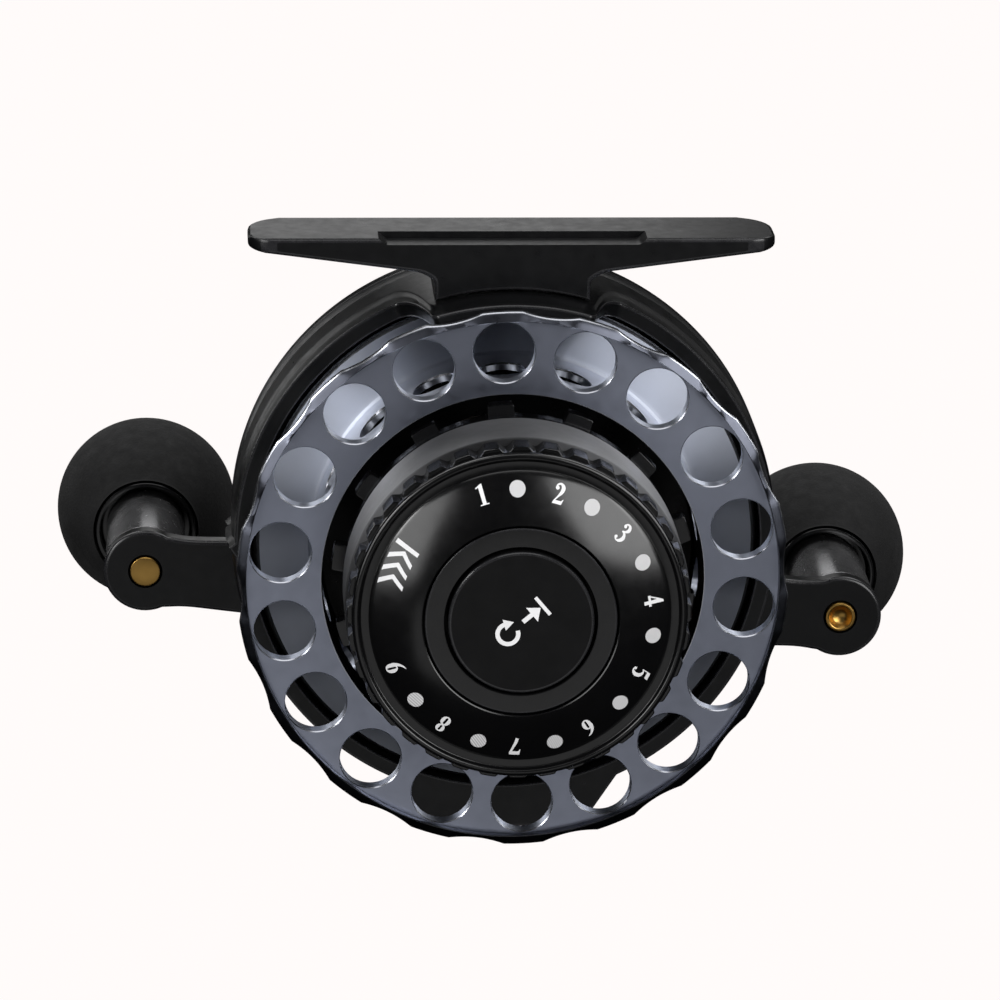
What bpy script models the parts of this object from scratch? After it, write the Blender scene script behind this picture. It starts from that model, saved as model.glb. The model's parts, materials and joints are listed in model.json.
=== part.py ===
"""A 65 mm geared fly reel as separate solids: frame and foot, spool, brake dial with its
reset button, gear pair and a double handle with two foam knobs.

Lengths are in millimetres and become metres when a mesh is made. Y runs along the spool
axis, with the dial facing -Y and the handle on the +Y side. Z is up, towards the foot.
"""

import math

import bmesh
import bpy
from mathutils import Vector

MM = 0.001

# Where the spool axis and the front face of the spool are, from the middle of the foot's top
AXIS_DROP = 39.6
FRONT_SETBACK = 13.4

# Spool
HOLES = 18
HOLE_PHASE = 92.8
HOLE_CIRCLE = 27.7
HOLE_RADIUS = 3.65
PERFORATION_RADIUS = 2.8
PERFORATION_Y = 9.2
CROWN_RADIUS = 32.72
CROWN_VALLEY = 32.15
CROWN_FRONT = -1.1
CROWN_BACK = 0.3
CROWN_LAND = 8.3
FACE_RADIUS = 31.45
FLANGE_RADIUS = 31.75
OPENING_RADIUS = 22.6
ARBOR_RADIUS = 23.5
REAR_FLANGE_RADIUS = 30.1
FRONT_FLANGE = 2.2
REAR_FLANGE_FRONT = 16.5
REAR_FLANGE_BACK = 18.0
WEB_FRONT = 15.0
HUB_FRONT = 11.0
HUB_BACK = 18.8
HUB_RADIUS = 6.5
HUB_BORE = 4.9

# Frame cup, its hood at the top and its lug at the bottom
CUP_INNER = 30.8
CUP_OUTER = 33.1
CUP_FRONT = 16.0
CUP_BACK = 29.0
HOOD_FRONT = 2.8
HOOD_HALF_ANGLE = 17.3
HOOD_CORNER_ANGLE = 1.6
HOOD_FLARE_ANGLE = 26.0
PLATE_FRONT = 19.5
PLATE_BACK = 21.7
PLATE_BORE = 7.5
CASE_INNER = 31.0
LUG_TOP_HALF = 14.8
LUG_TOP_Z = -28.9
LUG_END_HALF = 9.7
LUG_END_Z = -36.5
LUG_CORNER_ANGLE = 14.88
LUG_ROOT_ANGLE = 25.25
PILLAR_CIRCLE = 28.4
PILLAR_RADIUS = 2.8
PILLAR_ANGLES = (90.0, 210.0, 330.0)
PILLAR_HOLE = 1.45
PILLAR_HOLE_FRONT = 23.0
JOURNAL_BORE = 5.25

# Rear cover
COVER_FRONT = 29.3
COVER_BACK = 31.7
BOSS_RADIUS = 8.6
BOSS_BACK = 38.4
BEARING_POCKET = 6.0
BEARING_POCKET_BACK = 36.2
BEARING_FRONT = 31.9
SCREW_SEAT = 2.35
SCREW_SEAT_DEPTH = 1.3
SPINDLE_SCREW_HOLE = 1.4
SPINDLE_SCREW_SEAT = 3.3
SPINDLE_SEAT_DEPTH = 0.9

# Gear pair: module, teeth and where they are along the axis
MODULE = 0.5
PINION_TEETH = 15
GEAR_TEETH = 39
CENTRE_DISTANCE = MODULE * (PINION_TEETH + GEAR_TEETH) / 2
GEAR_FRONT = 23.6
GEAR_BACK = 26.2
ADDENDUM = 0.85
DEDENDUM = 1.2
TOOTH_THINNING = 0.13
PRESSURE_ANGLE = 20.0

# Spindle and handle shaft
SPINDLE_RADIUS = 1.9
SPINDLE_FRONT = -9.0
SPINDLE_BACK = 29.0
SHAFT_RADIUS = 3.0
SHAFT_FRONT = 19.9
SHAFT_NECK = 2.4

# Foot
FOOT_HALF = 31.2
FOOT_FRONT = 7.4
FOOT_DEPTH = 12.0
FOOT_TOE = 1.45
FOOT_ROOT_Z = 35.4
FOOT_FRONT_CORNER = 3.0
FOOT_BACK_CORNER = 5.4
STEM_HALF = 9.2
STEM_GAP = 0.3
RELIEF_HALF = 15.0
RELIEF_DEPTH_Y = 4.2
RELIEF_DEPTH_Z = 0.7
RELIEF_SLOPE = 1.6
ROOT_FILLET = 2.4
FOOT_SCREW_YS = (10.4, 16.4)
FOOT_SCREW_HOLE = 1.45
FOOT_SCREW_CLEARANCE = 1.5
FOOT_SCREW_SEAT = 2.4

# Brake drum, lugged ring and dial
DRUM_RADIUS = 20.2
DRUM_FRONT = -10.4
DRUM_BACK = -1.2
LUGS = 14
LUG_RING_RADIUS = 20.1
LUG_RADIUS = 21.6
LUG_ANGLE = 8.2
LUG_PHASE = 94.6
LUG_RING_BORE = 17.6
PLATE_REACH = 16.8
PLATE_THICK = 1.4
PLATE_FRONTS = {"pressure_plate": 2.0, "brake_plate": 5.3, "backing_plate": 8.6}
DISC_BORE = 8.0
DISC_REACH = 18.4
DISC_THICK = 1.3
DISC_FRONTS = {"friction_disc_front": 3.7, "friction_disc_rear": 7.0}
GRIP_LOBES = 36
GRIP_RADIUS = 20.05
GRIP_VALLEY = 19.35
GRIP_FRONT = -14.2
GRIP_BACK = -10.8
DIAL_RADIUS = 19.55
CONE_OUTER = 17.5
CONE_INNER = 11.4
CONE_OUTER_Y = -15.0
CONE_INNER_Y = -17.35
BUTTON_RADIUS = 8.46
BUTTON_FRONT = -17.9
BUTTON_BACK = -14.6

# Handle
HANDLE_TILT = 4.15
ARM_FRONT = 40.0
ARM_BACK = 42.6
ARM_REACH = 43.8
LOBE_RADIUS = 5.2
ARM_WIDTHS = ((0.0, 7.6), (8.0, 6.9), (16.0, 5.9), (26.0, 5.0), (34.0, 4.55), (38.4, 4.35))
ARM_CHAMFER = 0.5
PIN_RADIUS = 1.9
COLLAR_RADIUS = 5.0
COLLAR_BACK = 60.6
KNOB_RADIUS = 11.5
KNOB_MIDDLE = 70.6
KNOB_FRONT_REACH = 14.6
KNOB_MOUTH = 6.7
KNOB_MOUTH_Y = 58.3
KNOB_TAIL_Y = 81.2
KNOB_RECESS_Y = 62.2

# Steps round the large, middling and small round parts
STEPS_LARGE = 36
STEPS_MIDDLE = 24
STEPS_SMALL = 16
STEPS_TINY = 12


def clear_scene():
    for obj in list(bpy.data.objects):
        bpy.data.objects.remove(obj)


def material(name, colour, metallic, roughness):
    made = bpy.data.materials.new(name)
    made.use_nodes = True
    shader = made.node_tree.nodes["Principled BSDF"]
    shader.inputs["Base Color"].default_value = (*colour, 1.0)
    shader.inputs["Metallic"].default_value = metallic
    shader.inputs["Roughness"].default_value = roughness
    return made


def empty(name, parent, place, turn=0.0):
    made = bpy.data.objects.new(name, None)
    bpy.context.scene.collection.objects.link(made)
    made.parent = parent
    made.location = Vector(place) * MM
    made.rotation_euler = (0.0, math.radians(turn), 0.0)
    return made


def add_object(name, built, parent, surface, smooth=True, place=(0.0, 0.0, 0.0)):
    """A bmesh in millimetres as a named object in metres."""
    bmesh.ops.scale(built, vec=(MM, MM, MM), verts=built.verts)
    bmesh.ops.recalc_face_normals(built, faces=built.faces)
    mesh = bpy.data.meshes.new(name)
    built.to_mesh(mesh)
    built.free()
    obj = bpy.data.objects.new(name, mesh)
    bpy.context.scene.collection.objects.link(obj)
    obj.parent = parent
    obj.location = Vector(place) * MM
    if surface is not None:
        mesh.materials.append(surface)
    if smooth:
        mesh.shade_smooth()
        mesh.set_sharp_from_angle(angle=math.radians(32))
    return obj


def even_angles(steps):
    return [360.0 * step / steps for step in range(steps)]


def loft(sections, closed):
    """A skin over rings of points that all have the same count. Not closed: flat ends."""
    built = bmesh.new()
    rings = [[built.verts.new(point) for point in section] for section in sections]
    count = len(rings[0])
    spans = len(rings) if closed else len(rings) - 1
    for span in range(spans):
        ring = rings[span]
        following = rings[(span + 1) % len(rings)]
        for corner in range(count):
            after = (corner + 1) % count
            built.faces.new((ring[corner], ring[after], following[after], following[corner]))
    if not closed:
        built.faces.new(rings[0])
        built.faces.new(rings[-1])
    return built


def revolved(profile_at, angles):
    """A ring swept about Y. The profile is a closed loop of (radius, y), one for each angle."""
    sections = []
    for angle in angles:
        along_x = math.cos(math.radians(angle))
        along_z = math.sin(math.radians(angle))
        sections.append([(radius * along_x, y, radius * along_z) for radius, y in profile_at(angle)])
    return loft(sections, True)


def ring(profile, steps):
    return revolved(lambda angle: profile, even_angles(steps))


def turned(profile, steps):
    """A solid turned about Y from an open profile that starts and ends on the axis."""
    built = bmesh.new()
    start = built.verts.new((0.0, profile[0][1], 0.0))
    end = built.verts.new((0.0, profile[-1][1], 0.0))
    rings = []
    for radius, y in profile[1:-1]:
        turn = [math.radians(angle) for angle in even_angles(steps)]
        rings.append([built.verts.new((radius * math.cos(a), y, radius * math.sin(a))) for a in turn])
    for step in range(steps):
        after = (step + 1) % steps
        built.faces.new((start, rings[0][step], rings[0][after]))
        built.faces.new((end, rings[-1][after], rings[-1][step]))
        for ring_here, ring_next in zip(rings, rings[1:]):
            built.faces.new((ring_here[step], ring_next[step], ring_next[after], ring_here[after]))
    return built


def prism(outline, front, back):
    """An outline of (x, z) made solid between two places along Y."""
    return loft([[(x, y, z) for x, z in outline] for y in (front, back)], False)


def circle_points(radius, steps, middle=(0.0, 0.0)):
    turn = [math.radians(angle) for angle in even_angles(steps)]
    return [(middle[0] + radius * math.cos(a), middle[1] + radius * math.sin(a)) for a in turn]


def merged(parts):
    """Several closed meshes held in one bmesh, to use as one cutter."""
    whole = bmesh.new()
    for part in parts:
        held = bpy.data.meshes.new("held")
        part.to_mesh(held)
        part.free()
        whole.from_mesh(held)
        bpy.data.meshes.remove(held)
    return whole


def combine(target, tool, operation):
    """Joins or cuts the target with a hidden helper object."""
    tool.hide_render = True
    tool.display_type = "WIRE"
    step = target.modifiers.new(tool.name, "BOOLEAN")
    step.operation = operation
    step.solver = "EXACT"
    step.use_self = True
    step.object = tool


def screw_profile(head_radius, head_front, head_back, shank_radius, shank_end):
    """A screw whose head is at the +Y end, with a dished drive recess."""
    return [
        (0.0, shank_end),
        (shank_radius, shank_end),
        (shank_radius, head_front),
        (head_radius, head_front),
        (head_radius, head_back - 0.3),
        (head_radius - 0.3, head_back),
        (head_radius * 0.45, head_back),
        (0.0, head_back - 0.6),
    ]


def coil(radius, wire, front, back, turns, steps_per_turn, wire_steps):
    """A coil spring about Y with flat-cut ends."""
    sections = []
    count = int(turns * steps_per_turn)
    for step in range(count + 1):
        share = step / count
        angle = 2 * math.pi * turns * share
        middle_y = front + wire + (back - front - 2 * wire) * share
        section = []
        for corner in range(wire_steps):
            round_wire = 2 * math.pi * corner / wire_steps
            reach = radius + wire * math.cos(round_wire)
            y = middle_y + wire * math.sin(round_wire)
            section.append((reach * math.cos(angle), y, reach * math.sin(angle)))
        sections.append(section)
    return loft(sections, False)


def gear_outline(teeth, phase, bowed):
    """Teeth with one centred on the phase angle; bowed flanks get a corner at the pitch line."""
    pitch_radius = MODULE * teeth / 2
    tip = pitch_radius + ADDENDUM * MODULE
    root = pitch_radius - DEDENDUM * MODULE
    base = pitch_radius * math.cos(math.radians(PRESSURE_ANGLE))
    half_at_pitch = (math.pi * MODULE / 2 - TOOTH_THINNING) / 2 / pitch_radius

    def involute(radius):
        across = math.acos(min(1.0, base / max(radius, base)))
        return math.tan(across) - across

    half_at_tip = half_at_pitch + involute(pitch_radius) - involute(tip)
    half_at_root = half_at_pitch + involute(pitch_radius) - involute(root)
    outline = []
    for tooth in range(teeth):
        middle = math.radians(phase) + 2 * math.pi * tooth / teeth
        corners = (
            (root, -half_at_root),
            (pitch_radius, -half_at_pitch),
            (tip, -half_at_tip),
            (tip, half_at_tip),
            (pitch_radius, half_at_pitch),
            (root, half_at_root),
        )
        for radius, off in corners:
            if radius == pitch_radius and not bowed:
                continue
            outline.append((radius * math.cos(middle + off), radius * math.sin(middle + off)))
    return outline


def build_spool(axis, anodised):
    """Two flanges, a perforated arbor and a hub in one piece; the front rim is scalloped."""
    offsets = (
        (-CROWN_LAND / 2, CROWN_RADIUS),
        (CROWN_LAND / 2, CROWN_RADIUS),
        (180.0 / HOLES, CROWN_VALLEY),
    )
    crown = {}
    for hole in range(HOLES):
        for offset, radius in offsets:
            crown[HOLE_PHASE + hole * 360.0 / HOLES + offset] = radius

    def profile_at(angle):
        rim = crown[angle]
        return [
            (OPENING_RADIUS, 0.0),
            (FACE_RADIUS, 0.0),
            (FACE_RADIUS, CROWN_FRONT + 0.1),
            (FACE_RADIUS + 0.25, CROWN_FRONT),
            (rim, CROWN_FRONT + 0.55),
            (rim, CROWN_BACK),
            (FLANGE_RADIUS, CROWN_BACK + 0.2),
            (FLANGE_RADIUS, FRONT_FLANGE),
            (ARBOR_RADIUS + 0.8, FRONT_FLANGE),
            (ARBOR_RADIUS, FRONT_FLANGE + 0.8),
            (ARBOR_RADIUS, REAR_FLANGE_FRONT - 0.8),
            (ARBOR_RADIUS + 0.8, REAR_FLANGE_FRONT),
            (REAR_FLANGE_RADIUS - 0.3, REAR_FLANGE_FRONT),
            (REAR_FLANGE_RADIUS, REAR_FLANGE_FRONT + 0.3),
            (REAR_FLANGE_RADIUS, REAR_FLANGE_BACK),
            (HUB_RADIUS, REAR_FLANGE_BACK),
            (HUB_RADIUS, HUB_BACK),
            (HUB_BORE, HUB_BACK),
            (HUB_BORE, HUB_FRONT),
            (HUB_RADIUS, HUB_FRONT),
            (HUB_RADIUS, WEB_FRONT),
            (OPENING_RADIUS, WEB_FRONT),
        ]

    spool = add_object("spool", revolved(profile_at, sorted(crown)), axis, anodised)
    drills = []
    for hole in range(HOLES):
        angle = math.radians(HOLE_PHASE + hole * 360.0 / HOLES)
        middle = (HOLE_CIRCLE * math.cos(angle), HOLE_CIRCLE * math.sin(angle))
        drills.append(prism(circle_points(HOLE_RADIUS, STEPS_TINY, middle), -1.0, FRONT_FLANGE + 1.0))
        inward = Vector((math.cos(angle), 0.0, math.sin(angle)))
        sideways = Vector((-math.sin(angle), 0.0, math.cos(angle)))
        rings = []
        for reach in (ARBOR_RADIUS - 1.6, ARBOR_RADIUS + 0.6):
            centre = inward * reach + Vector((0.0, PERFORATION_Y, 0.0))
            points = circle_points(PERFORATION_RADIUS, 8)
            rings.append([centre + sideways * x + Vector((0.0, z, 0.0)) for x, z in points])
        drills.append(loft(rings, False))
    combine(spool, add_object("spool_drills", merged(drills), axis, None, False), "DIFFERENCE")


def hood_front_at(off):
    """How far forward the frame's wall reaches, for an angle away from straight up."""
    off = abs(off)
    if off <= HOOD_HALF_ANGLE - HOOD_CORNER_ANGLE:
        return HOOD_FRONT
    if off <= HOOD_HALF_ANGLE:
        across = (off - HOOD_HALF_ANGLE + HOOD_CORNER_ANGLE) / HOOD_CORNER_ANGLE
        return HOOD_FRONT + 1.0 * across**2
    if off >= HOOD_FLARE_ANGLE:
        return CUP_FRONT
    left = (HOOD_FLARE_ANGLE - off) / (HOOD_FLARE_ANGLE - HOOD_HALF_ANGLE)
    return CUP_FRONT - (CUP_FRONT - HOOD_FRONT - 1.0) * left**2.6


def lug_radius_at(off):
    """The frame's outer radius, for an angle away from straight down."""
    off = math.radians(abs(off))
    to_end = -LUG_END_Z / math.cos(off)
    run = LUG_TOP_HALF - LUG_END_HALF
    rise = LUG_TOP_Z - LUG_END_Z
    to_side = (LUG_END_HALF * rise - LUG_END_Z * run) / (math.sin(off) * rise + math.cos(off) * run)
    return max(CUP_OUTER, min(to_end, to_side))


def build_frame(root, black):
    """The cup round the rear flange, the hood that carries the foot, and the gear case."""
    near_top = (0.0, 8.0, 15.7, 17.3, 18.4, 20.2, 22.8, 26.0)
    near_lug = (0.0, LUG_CORNER_ANGLE, 20.0, LUG_ROOT_ANGLE)
    angles = {round(90.0 + side * off, 3) for off in near_top for side in (-1, 1)}
    angles |= {round(270.0 + side * off, 3) for off in near_lug for side in (-1, 1)}
    angles |= {float(a) for a in range(0, 360, 10) if abs(a - 90) > 29 and abs(a - 270) > 20}

    def profile_at(angle):
        front = hood_front_at(angle - 90.0)
        outer = lug_radius_at(angle - 270.0) if angle > 180.0 else CUP_OUTER
        return [
            (CUP_INNER, front),
            (outer - 0.5, front),
            (outer, front + 0.5),
            (outer, CUP_BACK),
            (CASE_INNER, CUP_BACK),
            (CASE_INNER, PLATE_BACK),
            (PLATE_BORE, PLATE_BACK),
            (PLATE_BORE, PLATE_FRONT),
            (CUP_INNER, PLATE_FRONT),
        ]

    frame = add_object("frame", revolved(profile_at, sorted(angles)), root, black)
    pillars = []
    for angle in PILLAR_ANGLES:
        middle = pillar_place(angle)
        outline = circle_points(PILLAR_RADIUS, STEPS_TINY, middle)
        pillars.append(prism(outline, PLATE_BACK - 0.8, CUP_BACK))
    combine(frame, add_object("frame_pillars", merged(pillars), root, None, False), "UNION")
    drills = []
    for angle in PILLAR_ANGLES:
        middle = pillar_place(angle)
        outline = circle_points(PILLAR_HOLE, STEPS_TINY, middle)
        drills.append(prism(outline, PILLAR_HOLE_FRONT, CUP_BACK + 1.0))
    journal = circle_points(JOURNAL_BORE, STEPS_SMALL, (0.0, -CENTRE_DISTANCE))
    drills.append(prism(journal, PLATE_FRONT - 1.0, PLATE_BACK + 1.0))
    for y in FOOT_SCREW_YS:
        drills.append(upright(FOOT_SCREW_CLEARANCE, y, CUP_INNER - 1.0, CUP_OUTER + 1.0))
        drills.append(upright(FOOT_SCREW_SEAT, y, CUP_INNER - 1.2, CUP_INNER + 1.4))
    combine(frame, add_object("frame_drills", merged(drills), root, None, False), "DIFFERENCE")


def pillar_place(angle):
    turn = math.radians(angle)
    return (PILLAR_CIRCLE * math.cos(turn), PILLAR_CIRCLE * math.sin(turn))


def upright(radius, y, low, high):
    """A cylinder along Z at a place on the middle line."""
    points = circle_points(radius, STEPS_TINY)
    return loft([[(x, y + z, height) for x, z in points] for height in (low, high)], False)


def build_rear_cover(root, black):
    """The lid of the gear case, with a long boss for the handle shaft."""
    profile = [
        (0.0, COVER_FRONT),
        (CUP_OUTER, COVER_FRONT),
        (CUP_OUTER, COVER_BACK - 0.9),
        (CUP_OUTER - 0.9, COVER_BACK),
        (24.0, COVER_BACK),
        (22.8, COVER_BACK + 0.8),
        (0.0, COVER_BACK + 0.8),
    ]
    cover = add_object("rear_cover", turned(profile, STEPS_LARGE), root, black)
    boss_profile = [
        (0.0, COVER_FRONT + 0.5),
        (BOSS_RADIUS + 0.9, COVER_FRONT + 0.5),
        (BOSS_RADIUS + 0.9, COVER_BACK + 1.6),
        (BOSS_RADIUS, COVER_BACK + 2.6),
        (BOSS_RADIUS, BOSS_BACK - 0.7),
        (BOSS_RADIUS - 0.7, BOSS_BACK),
        (0.0, BOSS_BACK),
    ]
    boss = turned(boss_profile, STEPS_MIDDLE)
    bmesh.ops.translate(boss, vec=(0.0, 0.0, -CENTRE_DISTANCE), verts=boss.verts)
    combine(cover, add_object("cover_boss", boss, root, None, False), "UNION")
    shaft_middle = (0.0, -CENTRE_DISTANCE)
    pocket = circle_points(BEARING_POCKET, STEPS_SMALL, shaft_middle)
    shaft_hole = circle_points(SHAFT_RADIUS + 0.5, STEPS_SMALL, shaft_middle)
    spindle_hole = circle_points(SPINDLE_SCREW_HOLE, STEPS_TINY)
    spindle_seat = circle_points(SPINDLE_SCREW_SEAT, STEPS_TINY)
    outside = COVER_BACK + 2.0
    drills = [
        prism(pocket, COVER_FRONT - 1.0, BEARING_POCKET_BACK),
        prism(shaft_hole, BEARING_POCKET_BACK - 1.0, BOSS_BACK + 1.0),
        prism(spindle_hole, COVER_FRONT - 1.0, outside),
        prism(spindle_seat, COVER_BACK - SPINDLE_SEAT_DEPTH, outside),
    ]
    for angle in PILLAR_ANGLES:
        middle = pillar_place(angle)
        hole = circle_points(PILLAR_HOLE, STEPS_TINY, middle)
        seat = circle_points(SCREW_SEAT, STEPS_TINY, middle)
        drills.append(prism(hole, COVER_FRONT - 1.0, outside))
        drills.append(prism(seat, COVER_BACK - SCREW_SEAT_DEPTH, outside))
    combine(cover, add_object("cover_drills", merged(drills), root, None, False), "DIFFERENCE")


def build_screws(root, steel):
    profile = screw_profile(2.05, COVER_BACK - 1.1, COVER_BACK - 0.05, 1.15, 23.6)
    for number, angle in enumerate(PILLAR_ANGLES, 1):
        x, z = pillar_place(angle)
        screw = turned(profile, STEPS_TINY)
        add_object(f"cover_screw_{number}", screw, root, steel, True, (x, 0.0, z))
    head = screw_profile(3.0, COVER_BACK - 0.6, COVER_BACK + 0.5, 1.1, SPINDLE_BACK - 4.5)
    add_object("spindle_screw", turned(head, STEPS_TINY), root, steel)
    foot_profile = screw_profile(2.1, 0.0, 1.1, 1.2, -5.6)
    for number, y in enumerate(FOOT_SCREW_YS, 1):
        screw = turned(foot_profile, STEPS_TINY)
        obj = add_object(f"foot_screw_{number}", screw, root, steel, True, (0.0, y, CUP_INNER + 1.2))
        obj.rotation_euler = (math.radians(-90.0), 0.0, 0.0)


def build_foot(root, black):
    """The rod-seat foot: a long tapering plate on a short stem, seated on the hood."""
    seat = CUP_OUTER + STEM_GAP
    arch = [STEM_HALF * (1 - step / 4) for step in range(9)]

    def corner_loss(corner, from_edge):
        if from_edge >= corner:
            return 0.0
        return corner - math.sqrt(corner**2 - (corner - from_edge) ** 2)

    def section_at(y):
        lost = corner_loss(FOOT_FRONT_CORNER, y - FOOT_FRONT)
        lost += corner_loss(FOOT_BACK_CORNER, FOOT_FRONT + FOOT_DEPTH - y)
        half = FOOT_HALF - lost
        toe_z = AXIS_DROP - FOOT_TOE - (FOOT_HALF - half) * 0.14
        right = [
            (half - 0.5, AXIS_DROP),
            (half, AXIS_DROP - 0.45),
            (half, toe_z),
            (STEM_HALF + ROOT_FILLET, FOOT_ROOT_Z + 0.2),
            (STEM_HALF + 0.5, FOOT_ROOT_Z - 0.5),
            (STEM_HALF, FOOT_ROOT_Z - 1.4),
        ]
        bottom = [(x, math.sqrt(seat**2 - x**2)) for x in arch]
        left = [(-x, z) for x, z in reversed(right)]
        return [(x, y, z) for x, z in right + bottom + left]

    shares = [0.0, 0.13, 0.45, 1.0]
    ys = [FOOT_FRONT + share * FOOT_FRONT_CORNER for share in shares]
    ys += [FOOT_FRONT + FOOT_DEPTH - share * FOOT_BACK_CORNER for share in reversed(shares)]
    foot = add_object("foot", loft([section_at(y) for y in ys], False), root, black)
    floor = AXIS_DROP - RELIEF_DEPTH_Z
    relief = [
        (-RELIEF_HALF - RELIEF_SLOPE, AXIS_DROP + 0.6),
        (-RELIEF_HALF, floor),
        (RELIEF_HALF, floor),
        (RELIEF_HALF + RELIEF_SLOPE, AXIS_DROP + 0.6),
    ]
    cutters = [prism(relief, FOOT_FRONT - 1.0, FOOT_FRONT + RELIEF_DEPTH_Y)]
    for y in FOOT_SCREW_YS:
        cutters.append(upright(FOOT_SCREW_HOLE, y, CUP_OUTER - 1.0, AXIS_DROP - 1.7))
    combine(foot, add_object("foot_cutters", merged(cutters), root, None, False), "DIFFERENCE")


def build_spindle(root, steel):
    profile = [
        (0.0, SPINDLE_FRONT),
        (SPINDLE_RADIUS - 0.4, SPINDLE_FRONT),
        (SPINDLE_RADIUS, SPINDLE_FRONT + 0.4),
        (SPINDLE_RADIUS, SPINDLE_BACK - 1.0),
        (5.0, SPINDLE_BACK - 1.0),
        (5.0, SPINDLE_BACK),
        (1.35, SPINDLE_BACK),
        (1.35, SPINDLE_BACK - 5.0),
        (0.0, SPINDLE_BACK - 5.0),
    ]
    add_object("spindle", turned(profile, STEPS_SMALL), root, steel)


def washer_profile(inner, outer, front, back):
    return [(inner, front), (outer, front), (outer, back), (inner, back)]


def build_bearings(root, spool_axis, shaft_axis, steel):
    small = SPINDLE_RADIUS + 0.25
    large = SHAFT_RADIUS + 0.25
    spool_outer = HUB_BORE - 0.2
    places = (
        ("spool_bearing_front", spool_axis, small, spool_outer, HUB_FRONT + 0.3, HUB_FRONT + 3.2),
        ("spool_bearing_rear", spool_axis, small, spool_outer, HUB_BACK - 3.2, HUB_BACK - 0.3),
        ("shaft_bearing_front", shaft_axis, large, 5.0, PLATE_FRONT + 0.1, PLATE_BACK - 0.1),
        ("shaft_bearing_rear", shaft_axis, large, 5.75, BEARING_FRONT, BEARING_POCKET_BACK - 0.3),
    )
    for name, axis, inner, outer, front, back in places:
        add_object(name, ring(washer_profile(inner, outer, front, back), STEPS_SMALL), axis, steel)


def build_gears(spool_axis, shaft_axis, brass, steel):
    """The pinion turns with the spool and the large gear with the handle shaft."""
    gap_phase = -90.0 + 180.0 / PINION_TEETH
    teeth = prism(gear_outline(PINION_TEETH, gap_phase, True), GEAR_FRONT - 0.4, GEAR_BACK + 0.3)
    pinion = add_object("pinion", teeth, spool_axis, steel, False)
    sleeve = prism(circle_points(3.1, STEPS_SMALL), HUB_BACK + 0.3, GEAR_FRONT)
    combine(pinion, add_object("pinion_sleeve", sleeve, spool_axis, None, False), "UNION")
    bore = prism(circle_points(SPINDLE_RADIUS + 0.3, STEPS_SMALL), HUB_BACK - 1.0, GEAR_BACK + 1.0)
    combine(pinion, add_object("pinion_bore", bore, spool_axis, None, False), "DIFFERENCE")
    gear_phase = 90.0 + HANDLE_TILT
    teeth = prism(gear_outline(GEAR_TEETH, gear_phase, False), GEAR_FRONT, GEAR_BACK)
    gear = add_object("drive_gear", teeth, shaft_axis, brass, False)
    bore = prism(circle_points(SHAFT_RADIUS + 0.25, STEPS_SMALL), GEAR_FRONT - 1.0, GEAR_BACK + 1.0)
    combine(gear, add_object("drive_gear_bore", bore, shaft_axis, None, False), "DIFFERENCE")


def build_brake(root, spool_axis, satin, black, steel, fibre):
    """The drum on the spindle, the lugged ring on the spool and the friction stack."""
    drum = [
        (DRUM_RADIUS - 0.35, DRUM_FRONT),
        (DRUM_RADIUS, DRUM_FRONT + 0.35),
        (DRUM_RADIUS, DRUM_BACK - 0.5),
        (DRUM_RADIUS - 0.5, DRUM_BACK),
        (SPINDLE_RADIUS + 0.25, DRUM_BACK),
        (SPINDLE_RADIUS + 0.25, DRUM_BACK - 1.5),
        (DRUM_RADIUS - 1.5, DRUM_BACK - 1.5),
        (DRUM_RADIUS - 1.5, DRUM_FRONT),
    ]
    add_object("brake_drum", ring(drum, STEPS_LARGE), root, satin)
    reach = {}
    for lug in range(LUGS):
        middle = LUG_PHASE + lug * 360.0 / LUGS
        reach[middle - LUG_ANGLE / 2 - 0.4] = LUG_RING_RADIUS
        reach[middle - LUG_ANGLE / 2] = LUG_RADIUS
        reach[middle + LUG_ANGLE / 2] = LUG_RADIUS
        reach[middle + LUG_ANGLE / 2 + 0.4] = LUG_RING_RADIUS

    def lugged(angle):
        return washer_profile(LUG_RING_BORE, reach[angle], DRUM_BACK + 0.4, DRUM_BACK + 2.6)

    add_object("lug_ring", revolved(lugged, sorted(reach)), spool_axis, black)
    bore = SPINDLE_RADIUS + 0.25
    for name, front in PLATE_FRONTS.items():
        plate = washer_profile(bore, PLATE_REACH, front, front + PLATE_THICK)
        add_object(name, ring(plate, STEPS_MIDDLE), root, steel)
    for name, front in DISC_FRONTS.items():
        disc = washer_profile(DISC_BORE, DISC_REACH, front, front + DISC_THICK)
        add_object(name, ring(disc, STEPS_MIDDLE), spool_axis, fibre)


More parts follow.
